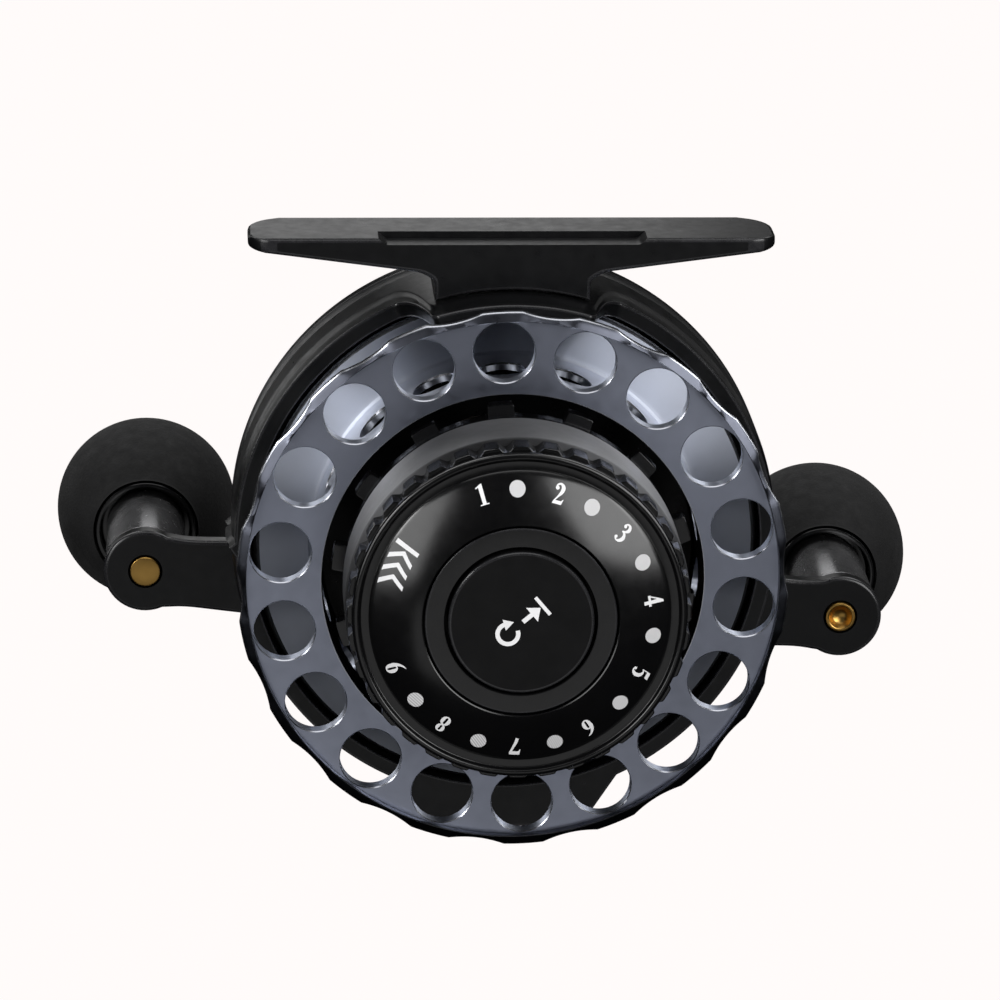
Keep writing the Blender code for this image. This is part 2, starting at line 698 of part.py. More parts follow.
def build_dial(dial_axis, gloss, black, brass, steel):
    """The numbered cap with its fluted grip, and the hub that rides on the spindle."""
    skirt = 17.2
    cap = [
        (CONE_INNER, CONE_INNER_Y),
        (CONE_OUTER, CONE_OUTER_Y),
        (CONE_OUTER, CONE_OUTER_Y + 0.3),
        (18.6, CONE_OUTER_Y + 0.3),
        (18.9, CONE_OUTER_Y - 0.3),
        (DIAL_RADIUS - 0.2, CONE_OUTER_Y - 0.2),
        (DIAL_RADIUS, GRIP_FRONT - 0.2),
        (skirt, GRIP_FRONT - 0.2),
        (skirt, GRIP_BACK - 0.1),
        (skirt - 0.9, GRIP_BACK - 0.1),
        (skirt - 0.9, CONE_OUTER_Y + 1.3),
        (CONE_INNER, CONE_INNER_Y + 1.6),
    ]
    add_object("dial_cap", ring(cap, STEPS_LARGE), dial_axis, gloss)
    lobe = 360.0 / GRIP_LOBES
    reach = {}
    for number in range(GRIP_LOBES):
        middle = number * lobe
        reach[middle] = GRIP_RADIUS
        reach[middle + 0.5 * lobe] = GRIP_VALLEY

    def fluted(angle):
        rim = reach[angle]
        return [(17.5, GRIP_FRONT), (rim, GRIP_FRONT), (rim, GRIP_BACK), (17.5, GRIP_BACK)]

    add_object("grip_ring", revolved(fluted, sorted(reach)), dial_axis, black)
    guide = [
        (BUTTON_RADIUS + 0.35, CONE_INNER_Y + 0.35),
        (BUTTON_RADIUS + 0.6, CONE_INNER_Y + 0.1),
        (CONE_INNER - 0.45, CONE_INNER_Y + 0.1),
        (CONE_INNER - 0.25, CONE_INNER_Y + 0.35),
        (CONE_INNER - 0.25, -12.8),
        (BUTTON_RADIUS + 0.35, -12.8),
    ]
    add_object("button_guide", ring(guide, STEPS_LARGE), dial_axis, black)
    hub = [
        (SPINDLE_RADIUS + 0.3, -8.2),
        (6.0, -8.2),
        (6.0, -11.2),
        (16.0, -11.2),
        (16.0, -12.5),
        (SPINDLE_RADIUS + 0.3, -12.5),
    ]
    add_object("dial_hub", ring(hub, STEPS_MIDDLE), dial_axis, brass)
    spring = coil(4.4, 0.28, -8.0, DRUM_BACK - 1.7, 3.0, 10, 5)
    add_object("dial_spring", spring, dial_axis, steel)


def build_button(dial_axis, black, steel):
    stem = 1.45
    profile = [
        (0.0, BUTTON_FRONT),
        (BUTTON_RADIUS - 0.35, BUTTON_FRONT),
        (BUTTON_RADIUS, BUTTON_FRONT + 0.35),
        (BUTTON_RADIUS, BUTTON_BACK),
        (4.6, BUTTON_BACK),
        (4.6, BUTTON_FRONT + 1.4),
        (stem, BUTTON_FRONT + 1.4),
        (stem, -13.0),
        (0.0, -13.0),
    ]
    add_object("reset_button", turned(profile, STEPS_MIDDLE), dial_axis, black)
    spring = coil(3.2, 0.25, BUTTON_FRONT + 1.6, -12.7, 3.5, 10, 5)
    add_object("button_spring", spring, dial_axis, steel)


def arm_outline():
    """Half-widths along the arm, then a round lobe at each end."""
    upper = []
    for along, half in ARM_WIDTHS[1:]:
        upper.append((along, half))
    for step in range(9):
        turn = math.radians(118.0 - 29.5 * step)
        upper.append((ARM_REACH + LOBE_RADIUS * math.cos(turn), LOBE_RADIUS * math.sin(turn)))
    right = upper + [(x, -z) for x, z in reversed(upper[: len(ARM_WIDTHS) - 1])]
    return right + [(-x, -z) for x, z in right]


def inset_outline(outline, depth):
    """The outline moved inwards, each corner along its own bisector."""
    moved = []
    count = len(outline)
    for index, (x, z) in enumerate(outline):
        before = Vector(outline[index - 1])
        after = Vector(outline[(index + 1) % count])
        here = Vector((x, z))
        first = (here - before).normalized()
        second = (after - here).normalized()
        inward = (Vector((first.y, -first.x)) + Vector((second.y, -second.x))).normalized()
        place = here + inward * depth
        moved.append((place.x, place.y))
    return moved


def build_handle(handle_axis, black, steel, brass):
    outline = arm_outline()
    small = inset_outline(outline, ARM_CHAMFER)
    levels = (
        (small, ARM_FRONT),
        (outline, ARM_FRONT + ARM_CHAMFER),
        (outline, ARM_BACK - ARM_CHAMFER),
        (small, ARM_BACK),
    )
    arm = loft([[(x, y, z) for x, z in points] for points, y in levels], False)
    arm = add_object("handle_arm", arm, handle_axis, black)
    drills = [prism(circle_points(SHAFT_NECK + 0.3, STEPS_SMALL), ARM_FRONT - 1.0, ARM_BACK + 1.0)]
    for side in (-1, 1):
        points = circle_points(PIN_RADIUS + 0.25, STEPS_TINY, (side * ARM_REACH, 0.0))
        drills.append(prism(points, ARM_FRONT - 1.0, ARM_BACK + 1.0))
    combine(arm, add_object("arm_drills", merged(drills), handle_axis, None, False), "DIFFERENCE")
    shaft = [
        (0.0, SHAFT_FRONT),
        (SHAFT_RADIUS - 0.3, SHAFT_FRONT),
        (SHAFT_RADIUS, SHAFT_FRONT + 0.3),
        (SHAFT_RADIUS, ARM_FRONT - 0.3),
        (SHAFT_NECK, ARM_FRONT - 0.3),
        (SHAFT_NECK, 46.4),
        (SHAFT_NECK - 0.4, 46.8),
        (0.0, 46.8),
    ]
    add_object("handle_shaft", turned(shaft, STEPS_SMALL), handle_axis, steel)
    washer = washer_profile(SHAFT_NECK + 0.3, 5.2, ARM_BACK + 0.15, ARM_BACK + 0.95)
    add_object("handle_washer", ring(washer, STEPS_SMALL), handle_axis, steel)
    nut = prism(circle_points(4.4, 6), ARM_BACK + 1.2, ARM_BACK + 3.6)
    nut = add_object("handle_nut", nut, handle_axis, brass, False)
    bore = prism(circle_points(SHAFT_NECK + 0.3, STEPS_SMALL), ARM_BACK, ARM_BACK + 5.0)
    combine(nut, add_object("nut_bore", bore, handle_axis, None, False), "DIFFERENCE")


def knob_profile():
    """Half of a ball, drawn out towards its mouth, with a dished tail, closed round the bore."""
    bore = PIN_RADIUS + 0.55
    points = [
        (KNOB_MOUTH, KNOB_RECESS_Y),
        (KNOB_MOUTH, KNOB_MOUTH_Y + 0.4),
        (KNOB_MOUTH + 0.45, KNOB_MOUTH_Y),
    ]
    for share in (-0.72, -0.52, -0.26, 0.0, 0.3, 0.58, 0.84):
        reach = KNOB_FRONT_REACH if share < 0.0 else KNOB_RADIUS
        points.append((KNOB_RADIUS * math.sqrt(1.0 - share**2), KNOB_MIDDLE + share * reach))
    points += [
        (4.4, KNOB_TAIL_Y),
        (3.6, KNOB_TAIL_Y - 0.2),
        (3.6, KNOB_TAIL_Y - 1.8),
        (bore, KNOB_TAIL_Y - 1.8),
        (bore, KNOB_RECESS_Y),
    ]
    return points


def build_knob(side, name, handle_axis, knob_axis, satin, gloss, foam, brass):
    """One knob: brass pin fixed in the arm, metal collar, dark cup and foam ball."""
    place = (side * ARM_REACH, 0.0, 0.0)
    dish = 0.9 if side > 0 else 0.25
    pin = [
        (0.0, ARM_FRONT - 0.25 + dish),
        (PIN_RADIUS * 0.55, ARM_FRONT - 0.25 + dish * 0.5),
        (PIN_RADIUS - 0.3, ARM_FRONT - 0.25),
        (PIN_RADIUS, ARM_FRONT + 0.05),
        (PIN_RADIUS, KNOB_TAIL_Y - 1.4),
        (0.0, KNOB_TAIL_Y - 1.4),
    ]
    add_object(f"knob_pin_{name}", turned(pin, STEPS_TINY), handle_axis, brass, True, place)
    bore = PIN_RADIUS + 0.3
    cap = [
        (0.0, KNOB_TAIL_Y - 1.1),
        (3.2, KNOB_TAIL_Y - 1.1),
        (3.2, KNOB_TAIL_Y - 0.4),
        (2.7, KNOB_TAIL_Y),
        (0.0, KNOB_TAIL_Y),
    ]
    add_object(f"knob_cap_{name}", turned(cap, STEPS_TINY), handle_axis, satin, True, place)
    collar = [
        (bore, ARM_BACK + 0.3),
        (COLLAR_RADIUS, ARM_BACK + 0.3),
        (COLLAR_RADIUS, COLLAR_BACK - 0.5),
        (COLLAR_RADIUS - 0.5, COLLAR_BACK),
        (bore, COLLAR_BACK),
    ]
    add_object(f"knob_collar_{name}", ring(collar, STEPS_SMALL), knob_axis, satin)
    cup = [
        (KNOB_MOUTH - 0.3, KNOB_MOUTH_Y + 0.1),
        (KNOB_MOUTH - 0.3, KNOB_RECESS_Y - 0.3),
        (bore, KNOB_RECESS_Y - 0.3),
        (bore, KNOB_RECESS_Y - 1.3),
        (KNOB_MOUTH - 1.0, KNOB_RECESS_Y - 1.3),
        (KNOB_MOUTH - 0.75, KNOB_MOUTH_Y + 0.1),
    ]
    add_object(f"knob_cup_{name}", ring(cup, STEPS_SMALL), knob_axis, gloss)
    add_object(f"knob_grip_{name}", ring(knob_profile(), STEPS_MIDDLE), knob_axis, foam)


def main():
    clear_scene()
    black = material("black_anodised", (0.018, 0.018, 0.02), 0.75, 0.38)
    gloss = material("black_gloss", (0.01, 0.01, 0.011), 0.6, 0.16)
    anodised = material("grey_anodised", (0.13, 0.15, 0.185), 1.0, 0.3)
    satin = material("satin_metal", (0.2, 0.2, 0.21), 1.0, 0.42)
    steel = material("steel", (0.55, 0.55, 0.56), 1.0, 0.28)
    brass = material("brass", (0.75, 0.5, 0.18), 1.0, 0.28)
    foam = material("foam", (0.02, 0.02, 0.02), 0.0, 0.9)
    fibre = material("friction_fibre", (0.07, 0.06, 0.05), 0.0, 0.8)

    root = empty("reel", None, (0.0, -FRONT_SETBACK, -AXIS_DROP))
    spool_axis = empty("spool_axis", root, (0.0, 0.0, 0.0))
    dial_axis = empty("dial_axis", root, (0.0, 0.0, 0.0))
    shaft_axis = empty("shaft_axis", root, (0.0, 0.0, -CENTRE_DISTANCE))
    handle_axis = empty("handle_axis", root, (0.0, 0.0, -CENTRE_DISTANCE), HANDLE_TILT)

    build_frame(root, black)
    build_rear_cover(root, black)
    build_screws(root, steel)
    build_foot(root, black)
    build_spindle(root, steel)
    build_spool(spool_axis, anodised)
    build_bearings(root, spool_axis, shaft_axis, steel)
    build_gears(spool_axis, handle_axis, brass, steel)
    build_brake(root, spool_axis, satin, black, steel, fibre)
    build_dial(dial_axis, gloss, black, brass, steel)
    build_button(dial_axis, black, steel)
    build_handle(handle_axis, black, steel, brass)
    for side, name in ((-1, "left"), (1, "right")):
        knob_axis = empty(f"knob_axis_{name}", handle_axis, (side * ARM_REACH, 0.0, 0.0))
        build_knob(side, name, handle_axis, knob_axis, satin, gloss, foam, brass)


main()
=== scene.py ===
"""Looks for the geared fly reel: fine meshes, finishes, printed marks, studio light and camera.

Lengths are in millimetres in each piece's own frame, whose Y axis is the piece's turning axis.
"""

import json
import math

import bmesh
import bpy
from mathutils import Matrix, Vector
from mathutils.geometry import delaunay_2d_cdt


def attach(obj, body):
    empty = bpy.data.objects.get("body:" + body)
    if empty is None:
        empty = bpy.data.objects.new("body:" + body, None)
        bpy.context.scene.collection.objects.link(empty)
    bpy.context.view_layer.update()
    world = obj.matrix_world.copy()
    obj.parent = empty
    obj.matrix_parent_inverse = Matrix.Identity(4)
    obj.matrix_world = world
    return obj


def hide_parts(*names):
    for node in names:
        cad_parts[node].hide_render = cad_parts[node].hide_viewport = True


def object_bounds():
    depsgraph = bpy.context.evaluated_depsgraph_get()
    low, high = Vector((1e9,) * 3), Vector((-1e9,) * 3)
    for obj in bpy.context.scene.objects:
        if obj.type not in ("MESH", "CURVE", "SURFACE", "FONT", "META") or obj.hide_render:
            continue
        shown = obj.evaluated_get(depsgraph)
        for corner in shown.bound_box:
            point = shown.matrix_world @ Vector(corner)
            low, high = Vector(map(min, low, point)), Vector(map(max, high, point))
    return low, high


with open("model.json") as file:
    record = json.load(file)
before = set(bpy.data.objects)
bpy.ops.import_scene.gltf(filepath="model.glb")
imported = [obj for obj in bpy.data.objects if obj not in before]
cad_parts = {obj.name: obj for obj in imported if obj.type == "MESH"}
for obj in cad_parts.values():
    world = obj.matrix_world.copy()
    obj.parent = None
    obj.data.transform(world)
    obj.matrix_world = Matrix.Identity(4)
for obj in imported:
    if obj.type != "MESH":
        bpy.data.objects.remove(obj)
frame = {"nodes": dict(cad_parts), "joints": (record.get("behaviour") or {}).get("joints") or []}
cad_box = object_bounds()

MM = 0.001

# Spool
HOLES = 18
HOLE_PHASE = 92.8
HOLE_CIRCLE = 27.7
HOLE_RADIUS = 3.65
PERFORATION_RADIUS = 2.8
PERFORATION_Y = 9.2
CROWN_RADIUS = 32.72
CROWN_VALLEY = 32.15
CROWN_FRONT = -1.1
CROWN_BACK = 0.3
CROWN_LAND = 8.3
FACE_RADIUS = 31.45
FLANGE_RADIUS = 31.75
OPENING_RADIUS = 22.6
ARBOR_RADIUS = 23.5
REAR_FLANGE_RADIUS = 30.1
FRONT_FLANGE = 2.2
CHAMFER = 0.12
REAR_FLANGE_FRONT = 16.5
REAR_FLANGE_BACK = 18.0

# Frame
CUP_INNER = 30.8
CUP_OUTER = 33.1
CUP_FRONT = 16.0
CUP_BACK = 29.0
HOOD_FRONT = 2.8
HOOD_HALF_ANGLE = 17.3
HOOD_CORNER_ANGLE = 1.6
HOOD_FLARE_ANGLE = 26.0
PLATE_FRONT = 19.5
PLATE_BACK = 21.7
CASE_INNER = 31.0
LUG_TOP_HALF = 14.8
LUG_TOP_Z = -28.9
LUG_END_HALF = 9.7
LUG_END_Z = -36.5
LUG_CORNER_ANGLE = 14.88
LUG_ROOT_ANGLE = 25.25
PILLAR_CIRCLE = 28.4
PILLAR_RADIUS = 2.8
PILLAR_ANGLES = (90.0, 210.0, 330.0)
COVER_FRONT = 29.3
COVER_BACK = 31.7
BOSS_RADIUS = 8.6
BOSS_BACK = 38.4
CENTRE_DISTANCE = 13.5

# Foot
AXIS_DROP = 39.6
FOOT_HALF = 31.2
FOOT_FRONT = 7.4
FOOT_DEPTH = 12.0
FOOT_TOE = 1.45
FOOT_ROOT_Z = 35.4
FOOT_FRONT_CORNER = 3.0
FOOT_BACK_CORNER = 5.4
STEM_HALF = 9.2
STEM_GAP = 0.3
FOOT_SCREWS_Y = (10.4, 16.4)

# Brake drum and dial
DRUM_RADIUS = 20.2
DRUM_FRONT = -10.4
DRUM_BACK = -1.2
LUGS = 14
LUG_PHASE = 94.6
LUG_ANGLE = 8.2
LUG_RADIUS = 21.6
LUG_RING_RADIUS = 20.1
GRIP_LOBES = 36
GRIP_RADIUS = 20.05
GRIP_VALLEY = 19.35
GRIP_FRONT = -14.2
GRIP_BACK = -10.8
DIAL_RADIUS = 19.55
CONE_OUTER = 17.5
CONE_INNER = 11.4
CONE_OUTER_Y = -15.0
CONE_INNER_Y = -17.35
CONE_BULGE = 0.26
BUTTON_RADIUS = 8.46
BUTTON_FRONT = -17.9
BUTTON_BACK = -14.6

# Handle
HANDLE_TILT = 4.15
ARM_FRONT = 40.0
ARM_BACK = 42.6
ARM_REACH = 43.8
LOBE_RADIUS = 5.2
ARM_WIDTHS = ((0.0, 7.6), (8.0, 6.9), (16.0, 5.9), (26.0, 5.0), (34.0, 4.55), (38.4, 4.35))
PIN_RADIUS = 1.9
COLLAR_RADIUS = 5.0
COLLAR_BACK = 60.6
KNOB_RADIUS = 11.5
KNOB_MIDDLE = 70.6
KNOB_FRONT_REACH = 14.6
KNOB_MOUTH = 6.7
KNOB_MOUTH_Y = 58.3
KNOB_TAIL_Y = 81.2

spool_joint = next(j for j in frame["joints"] if j["name"] == "spool_spin")
REEL = Matrix.Translation(Vector(spool_joint["pos_m"]))
SHAFT = REEL @ Matrix.Translation((0.0, 0.0, -CENTRE_DISTANCE * MM))
HANDLE = SHAFT @ Matrix.Rotation(math.radians(HANDLE_TILT), 4, "Y")


# ---------------------------------------------------------------- finishes

def add_node(tree, kind, **settings):
    made = tree.nodes.new(kind)
    for name, value in settings.items():
        if name in made.inputs.keys():
            made.inputs[name].default_value = value
        else:
            setattr(made, name, value)
    return made


def noise_of(tree, vector, scale, detail=2.0, rough=0.5):
    made = add_node(tree, "ShaderNodeTexNoise", Scale=scale, Detail=detail, Roughness=rough)
    tree.links.new(vector, made.inputs["Vector"])
    return made.outputs["Fac"]


def mapped(tree, value, low, high, from_low=0.3, from_high=0.7):
    made = tree.nodes.new("ShaderNodeMapRange")
    made.inputs["From Min"].default_value = from_low
    made.inputs["From Max"].default_value = from_high
    made.inputs["To Min"].default_value = low
    made.inputs["To Max"].default_value = high
    tree.links.new(value, made.inputs["Value"])
    return made.outputs["Result"]


def bumped(tree, height, depth, before=None):
    made = add_node(tree, "ShaderNodeBump", Strength=1.0, Distance=depth * MM)
    tree.links.new(height, made.inputs["Height"])
    if before is not None:
        tree.links.new(before, made.inputs["Normal"])
    return made.outputs["Normal"]


def finish(name, colour, metallic, roughness, grain=0.0, grain_size=0.12, mottle=0.08,
           uneven=0.15, turned=0.0, turned_pitch=0.22, chips=0.0, worn=(0.3, 0.3, 0.31), hatch=0.0,
           anisotropy=0.0, ior=1.5, sheen=0.0, cells=0.0):
    """A procedural finish: cloudy colour, uneven gloss, fine grain, lathe rings and worn edges."""
    made = bpy.data.materials.new(name)
    made.use_nodes = True
    tree = made.node_tree
    link = tree.links.new
    shader = tree.nodes["Principled BSDF"]
    shader.inputs["Metallic"].default_value = metallic
    shader.inputs["IOR"].default_value = ior
    shader.inputs["Anisotropic"].default_value = anisotropy
    shader.inputs["Sheen Weight"].default_value = sheen
    place = tree.nodes.new("ShaderNodeTexCoord")
    in_mm = add_node(tree, "ShaderNodeVectorMath", operation="SCALE")
    in_mm.inputs["Scale"].default_value = 1000.0
    link(place.outputs["Object"], in_mm.inputs[0])
    spot = in_mm.outputs[0]

    cloud = noise_of(tree, spot, 0.22, 3.0)
    tint = add_node(tree, "ShaderNodeMix", data_type="RGBA")
    tint.inputs["A"].default_value = (*[c * (1 - mottle) for c in colour], 1.0)
    tint.inputs["B"].default_value = (*[min(1.0, c * (1 + mottle)) for c in colour], 1.0)
    link(mapped(tree, cloud, 0.0, 1.0), tint.inputs["Factor"])
    shown = tint.outputs["Result"]
    smudge = noise_of(tree, spot, 0.7, 4.0, 0.6)
    gloss = mapped(tree, smudge, roughness * (1 - uneven), roughness * (1 + uneven))

    if chips > 0.0:
        bare = mapped(tree, noise_of(tree, spot, 2.2, 4.0, 0.65), 0.0, chips, 0.45, 0.7)
        rubbed = add_node(tree, "ShaderNodeMix", data_type="RGBA")
        rubbed.inputs["B"].default_value = (*worn, 1.0)
        link(bare, rubbed.inputs["Factor"])
        link(shown, rubbed.inputs["A"])
        shown = rubbed.outputs["Result"]
    if hatch > 0.0:
        lines = add_node(tree, "ShaderNodeTexWave", bands_direction="DIAGONAL", Scale=2.2)
        link(spot, lines.inputs["Vector"])
        lined = add_node(tree, "ShaderNodeMix", data_type="RGBA")
        lined.inputs["B"].default_value = (*[c * (1 - hatch) for c in colour], 1.0)
        link(mapped(tree, lines.outputs["Fac"], 0.0, 1.0, 0.2, 0.8), lined.inputs["Factor"])
        link(shown, lined.inputs["A"])
        shown = lined.outputs["Result"]
    link(shown, shader.inputs["Base Color"])
    link(gloss, shader.inputs["Roughness"])

    normal = None
    if grain > 0.0:
        normal = bumped(tree, noise_of(tree, spot, 1.0 / grain_size, 3.0, 0.6), grain, normal)
    if cells > 0.0:
        pores = add_node(tree, "ShaderNodeTexVoronoi", Scale=3.2)
        link(spot, pores.inputs["Vector"])
        normal = bumped(tree, pores.outputs["Distance"], cells, normal)
    if turned > 0.0:
        parts = tree.nodes.new("ShaderNodeSeparateXYZ")
        link(spot, parts.inputs[0])
        flat = tree.nodes.new("ShaderNodeCombineXYZ")
        link(parts.outputs["X"], flat.inputs["X"])
        link(parts.outputs["Z"], flat.inputs["Y"])
        out = add_node(tree, "ShaderNodeVectorMath", operation="LENGTH")
        link(flat.outputs[0], out.inputs[0])
        whole = tree.nodes.new("ShaderNodeCombineXYZ")
        link(out.outputs["Value"], whole.inputs["X"])
        link(parts.outputs["Y"], whole.inputs["Y"])
        rings = noise_of(tree, whole.outputs[0], 1.0 / turned_pitch, 2.0, 0.7)
        normal = bumped(tree, rings, turned, normal)
    if normal is not None:
        link(normal, shader.inputs["Normal"])
    if anisotropy > 0.0:
        around = add_node(tree, "ShaderNodeTangent", direction_type="RADIAL", axis="Y")
        link(around.outputs[0], shader.inputs["Tangent"])
        shader.inputs["Anisotropic Rotation"].default_value = 0.25
    return made


BLACK = finish("satin_black_anodised", (0.0042, 0.0043, 0.0048), 0.0, 0.32, grain=0.004,
               grain_size=0.14, mottle=0.15, ior=1.4)
BLACK_EDGE = finish("satin_black_rubbed_edge", (0.014, 0.014, 0.0155), 0.0, 0.24, grain=0.003,
                    grain_size=0.2, mottle=0.3, chips=0.2, worn=(0.05, 0.05, 0.053), ior=1.55)
BLACK_TURNED = finish("satin_black_turned", (0.0042, 0.0043, 0.0046), 0.0, 0.3, grain=0.002,
                      turned=0.003, mottle=0.15, ior=1.3)
GLOSS = finish("gloss_black", (0.003, 0.003, 0.0033), 0.0, 0.2, grain=0.0006, grain_size=0.5,
               mottle=0.1, uneven=0.12, ior=1.6)
MATTE = finish("matte_black", (0.0035, 0.0035, 0.0038), 0.0, 0.48, grain=0.003, grain_size=0.1,
               mottle=0.2, ior=1.3)
SLATE = finish("slate_anodised", (0.415, 0.445, 0.55), 1.0, 0.32, grain=0.003,
               grain_size=0.11, mottle=0.05, uneven=0.1, anisotropy=0.45)
# Painted shade: a dimmed copy of the slate finish for the raised rim's inner wall.
RIM_LAND_PAINTED_SHADE = finish("slate_rim_land_painted_shade", (0.2, 0.212, 0.255), 1.0, 0.3, grain=0.003,
                  grain_size=0.11, mottle=0.05, uneven=0.1, anisotropy=0.3)
RIM_BRIGHT = finish("slate_rim_bright", (0.5, 0.52, 0.58), 1.0, 0.25, grain=0.002,
                    grain_size=0.15, mottle=0.05, uneven=0.1)
# Painted shade: a dimmed copy of the slate finish, put on the crown rim's front face and back face where they
# fall in shade.
RIM_GROOVE_PAINTED_SHADE = finish("slate_rim_groove_painted_shade", (0.1, 0.106, 0.13), 1.0, 0.3, grain=0.003,
                    grain_size=0.11, mottle=0.1, uneven=0.1)
POLISHED = finish("turned_slate", (0.5, 0.53, 0.61), 1.0, 0.42, turned=0.0004,
                  turned_pitch=0.12, mottle=0.03, uneven=0.05, anisotropy=0.96)
CUT_EDGE = finish("diamond_cut_edge", (0.66, 0.68, 0.74), 1.0, 0.24, turned=0.0008, mottle=0.05)
SATIN = finish("satin_turned_metal", (0.19, 0.192, 0.2), 1.0, 0.58, turned=0.001,
               turned_pitch=0.16, mottle=0.06, uneven=0.08, anisotropy=0.96)
COLLAR = finish("dark_satin_chrome", (0.42, 0.42, 0.43), 1.0, 0.26, turned=0.0002,
                turned_pitch=0.5, mottle=0.05, uneven=0.06)
STEEL = finish("steel", (0.52, 0.52, 0.54), 1.0, 0.26, turned=0.001, mottle=0.06)
BRASS = finish("brass", (0.6, 0.36, 0.1), 1.0, 0.32, turned=0.001, turned_pitch=0.2,
               mottle=0.06)
FOAM = finish("eva_foam", (0.0065, 0.0065, 0.0068), 0.0, 0.8, grain=0.03, grain_size=0.25,
              mottle=0.3, cells=0.03, sheen=0.02, ior=1.35)
FIBRE = finish("friction_fibre", (0.07, 0.06, 0.05), 0.0, 0.8, grain=0.02, mottle=0.3)
PRINT = finish("etched_silver", (0.8, 0.8, 0.81), 0.0, 0.5, grain=0.004, grain_size=0.12,
               mottle=0.08)
PRINT_DOT = finish("etched_silver_hatched", (0.72, 0.72, 0.73), 0.0, 0.5, grain=0.004,
                   grain_size=0.12, mottle=0.08, hatch=0.4)


# ---------------------------------------------------------------- mesh tools

# What a profile corner of (radius, y) leaves out: its setback, its span's surface and its arc's surface.
NO_ROUNDING = (0.0, 0, None)


def soften(corners, closed=False, steps=3):
    """Rounds a profile. A corner is (radius, y, setback, surface of the next span, surface of the arc)."""
    made = []
    count = len(corners)
    for index, corner in enumerate(corners):
        radius, y, setback, surface, arc = tuple(corner) + NO_ROUNDING[len(corner) - 2:]
        at_end = not closed and index in (0, count - 1)
        if setback <= 0.0 or at_end:
            made.append((radius, y, surface))
            continue
        here = Vector((radius, y))
        before = Vector(corners[index - 1][:2]) - here
        after = Vector(corners[(index + 1) % count][:2]) - here
        start = here + before.normalized() * min(setback, 0.48 * before.length)
        end = here + after.normalized() * min(setback, 0.48 * after.length)
        for step in range(steps + 1):
            share = step / steps
            point = start * (1 - share) ** 2 + here * (2 * share * (1 - share)) + end * share**2
            made.append((point.x, point.y, surface if arc is None or step == steps else arc))
    return made


def even(steps):
    return [360.0 * step / steps for step in range(steps)]


def lathe(profile_at, angles, closed=True):
    """A solid swept about Y from (radius, y, surface) points; a point on the axis becomes a pole."""
    built = bmesh.new()
    first = profile_at(angles[0])
    poles = {}
    for index, (radius, y, _) in enumerate(first):
        if radius < 1e-6:
            poles[index] = built.verts.new((0.0, y, 0.0))
    rings = []
    surfaces = [surface for _, _, surface in first]
    for angle in angles:
        along_x, along_z = math.cos(math.radians(angle)), math.sin(math.radians(angle))
        ring = []
        for index, (radius, y, _) in enumerate(profile_at(angle)):
            ring.append(poles.get(index) or built.verts.new((radius * along_x, y, radius * along_z)))
        rings.append(ring)
    spans = len(first) if closed else len(first) - 1
    for number, ring in enumerate(rings):
        following = rings[(number + 1) % len(rings)]
        for index in range(spans):
            after = (index + 1) % len(first)
            corners = [ring[index], ring[after], following[after], following[index]]
            distinct = list(dict.fromkeys(corners))
            if len(distinct) > 2:
                face = built.faces.new(distinct)
                face.material_index = surfaces[index]
    return built


def turn(corners, steps, closed=True, arc_steps=3):
    profile = soften(corners, closed, arc_steps)
    return lathe(lambda angle: profile, even(steps), closed)


def skin(sections, surface=0, edge_spans=()):
    """A skin over rings of points that all have the same count, with flat ends."""
    built = bmesh.new()
    rings = [[built.verts.new(point) for point in section] for section in sections]
    count = len(rings[0])
    for span, (ring, following) in enumerate(zip(rings, rings[1:])):
        for corner in range(count):
            after = (corner + 1) % count
            side = built.faces.new((ring[corner], ring[after], following[after], following[corner]))
            side.material_index = 1 if span in edge_spans else surface
    for ring in (rings[0], rings[-1]):
        built.faces.new(ring).material_index = surface
    return built


def prism(outline, front, back, surface=0):
    return skin([[(x, y, z) for x, z in outline] for y in (front, back)], surface)


def circle(radius, steps, middle=(0.0, 0.0)):
    turns = [math.radians(angle) for angle in even(steps)]
    return [(middle[0] + radius * math.cos(a), middle[1] + radius * math.sin(a)) for a in turns]


def signed_area(outline):
    after = outline[1:] + outline[:1]
    return sum(x * next_y - next_x * y for (x, y), (next_x, next_y) in zip(outline, after)) / 2


def inset(outline, depth):
    """The outline moved inwards, each corner along its own bisector."""
    moved = []
    count = len(outline)
    side = 1.0 if signed_area(outline) > 0 else -1.0
    for index, (x, z) in enumerate(outline):
        here = Vector((x, z))
        first = (here - Vector(outline[index - 1])).normalized()
        second = (Vector(outline[(index + 1) % count]) - here).normalized()
        bisector = Vector((-first.y, first.x)) + Vector((-second.y, second.x))
        place = here + bisector.normalized() * (side * depth)
        moved.append((place.x, place.y))
    return moved


def smooth_line(points, steps):
    """Catmull-Rom points through the given ones, whatever their dimension."""
    points = [Vector(p) for p in points]
    padded = [points[0] * 2 - points[1]] + points + [points[-1] * 2 - points[-2]]
    made = []
    for a, b, c, d in zip(padded, padded[1:], padded[2:], padded[3:]):
        for step in range(steps):
            t = step / steps
            made.append(0.5 * (2 * b + (c - a) * t + (2 * a - 5 * b + 4 * c - d) * t**2
                               + (3 * b - a - 3 * c + d) * t**3))
    made.append(points[-1])
    return made


def shifted(built, x=0.0, y=0.0, z=0.0, spin=None):
    """The mesh turned about Y by spin degrees, then moved."""
    if spin is not None:
        rotation = Matrix.Rotation(math.radians(spin), 3, "Y")
        bmesh.ops.rotate(built, cent=(0, 0, 0), matrix=rotation, verts=built.verts)
    bmesh.ops.translate(built, vec=(x, y, z), verts=built.verts)
    return built


def merged(parts):
    whole = bmesh.new()
    for part in parts:
        held = bpy.data.meshes.new("held")
        bmesh.ops.recalc_face_normals(part, faces=part.faces)
        part.to_mesh(held)
        part.free()
        whole.from_mesh(held)
        bpy.data.meshes.remove(held)
    return whole


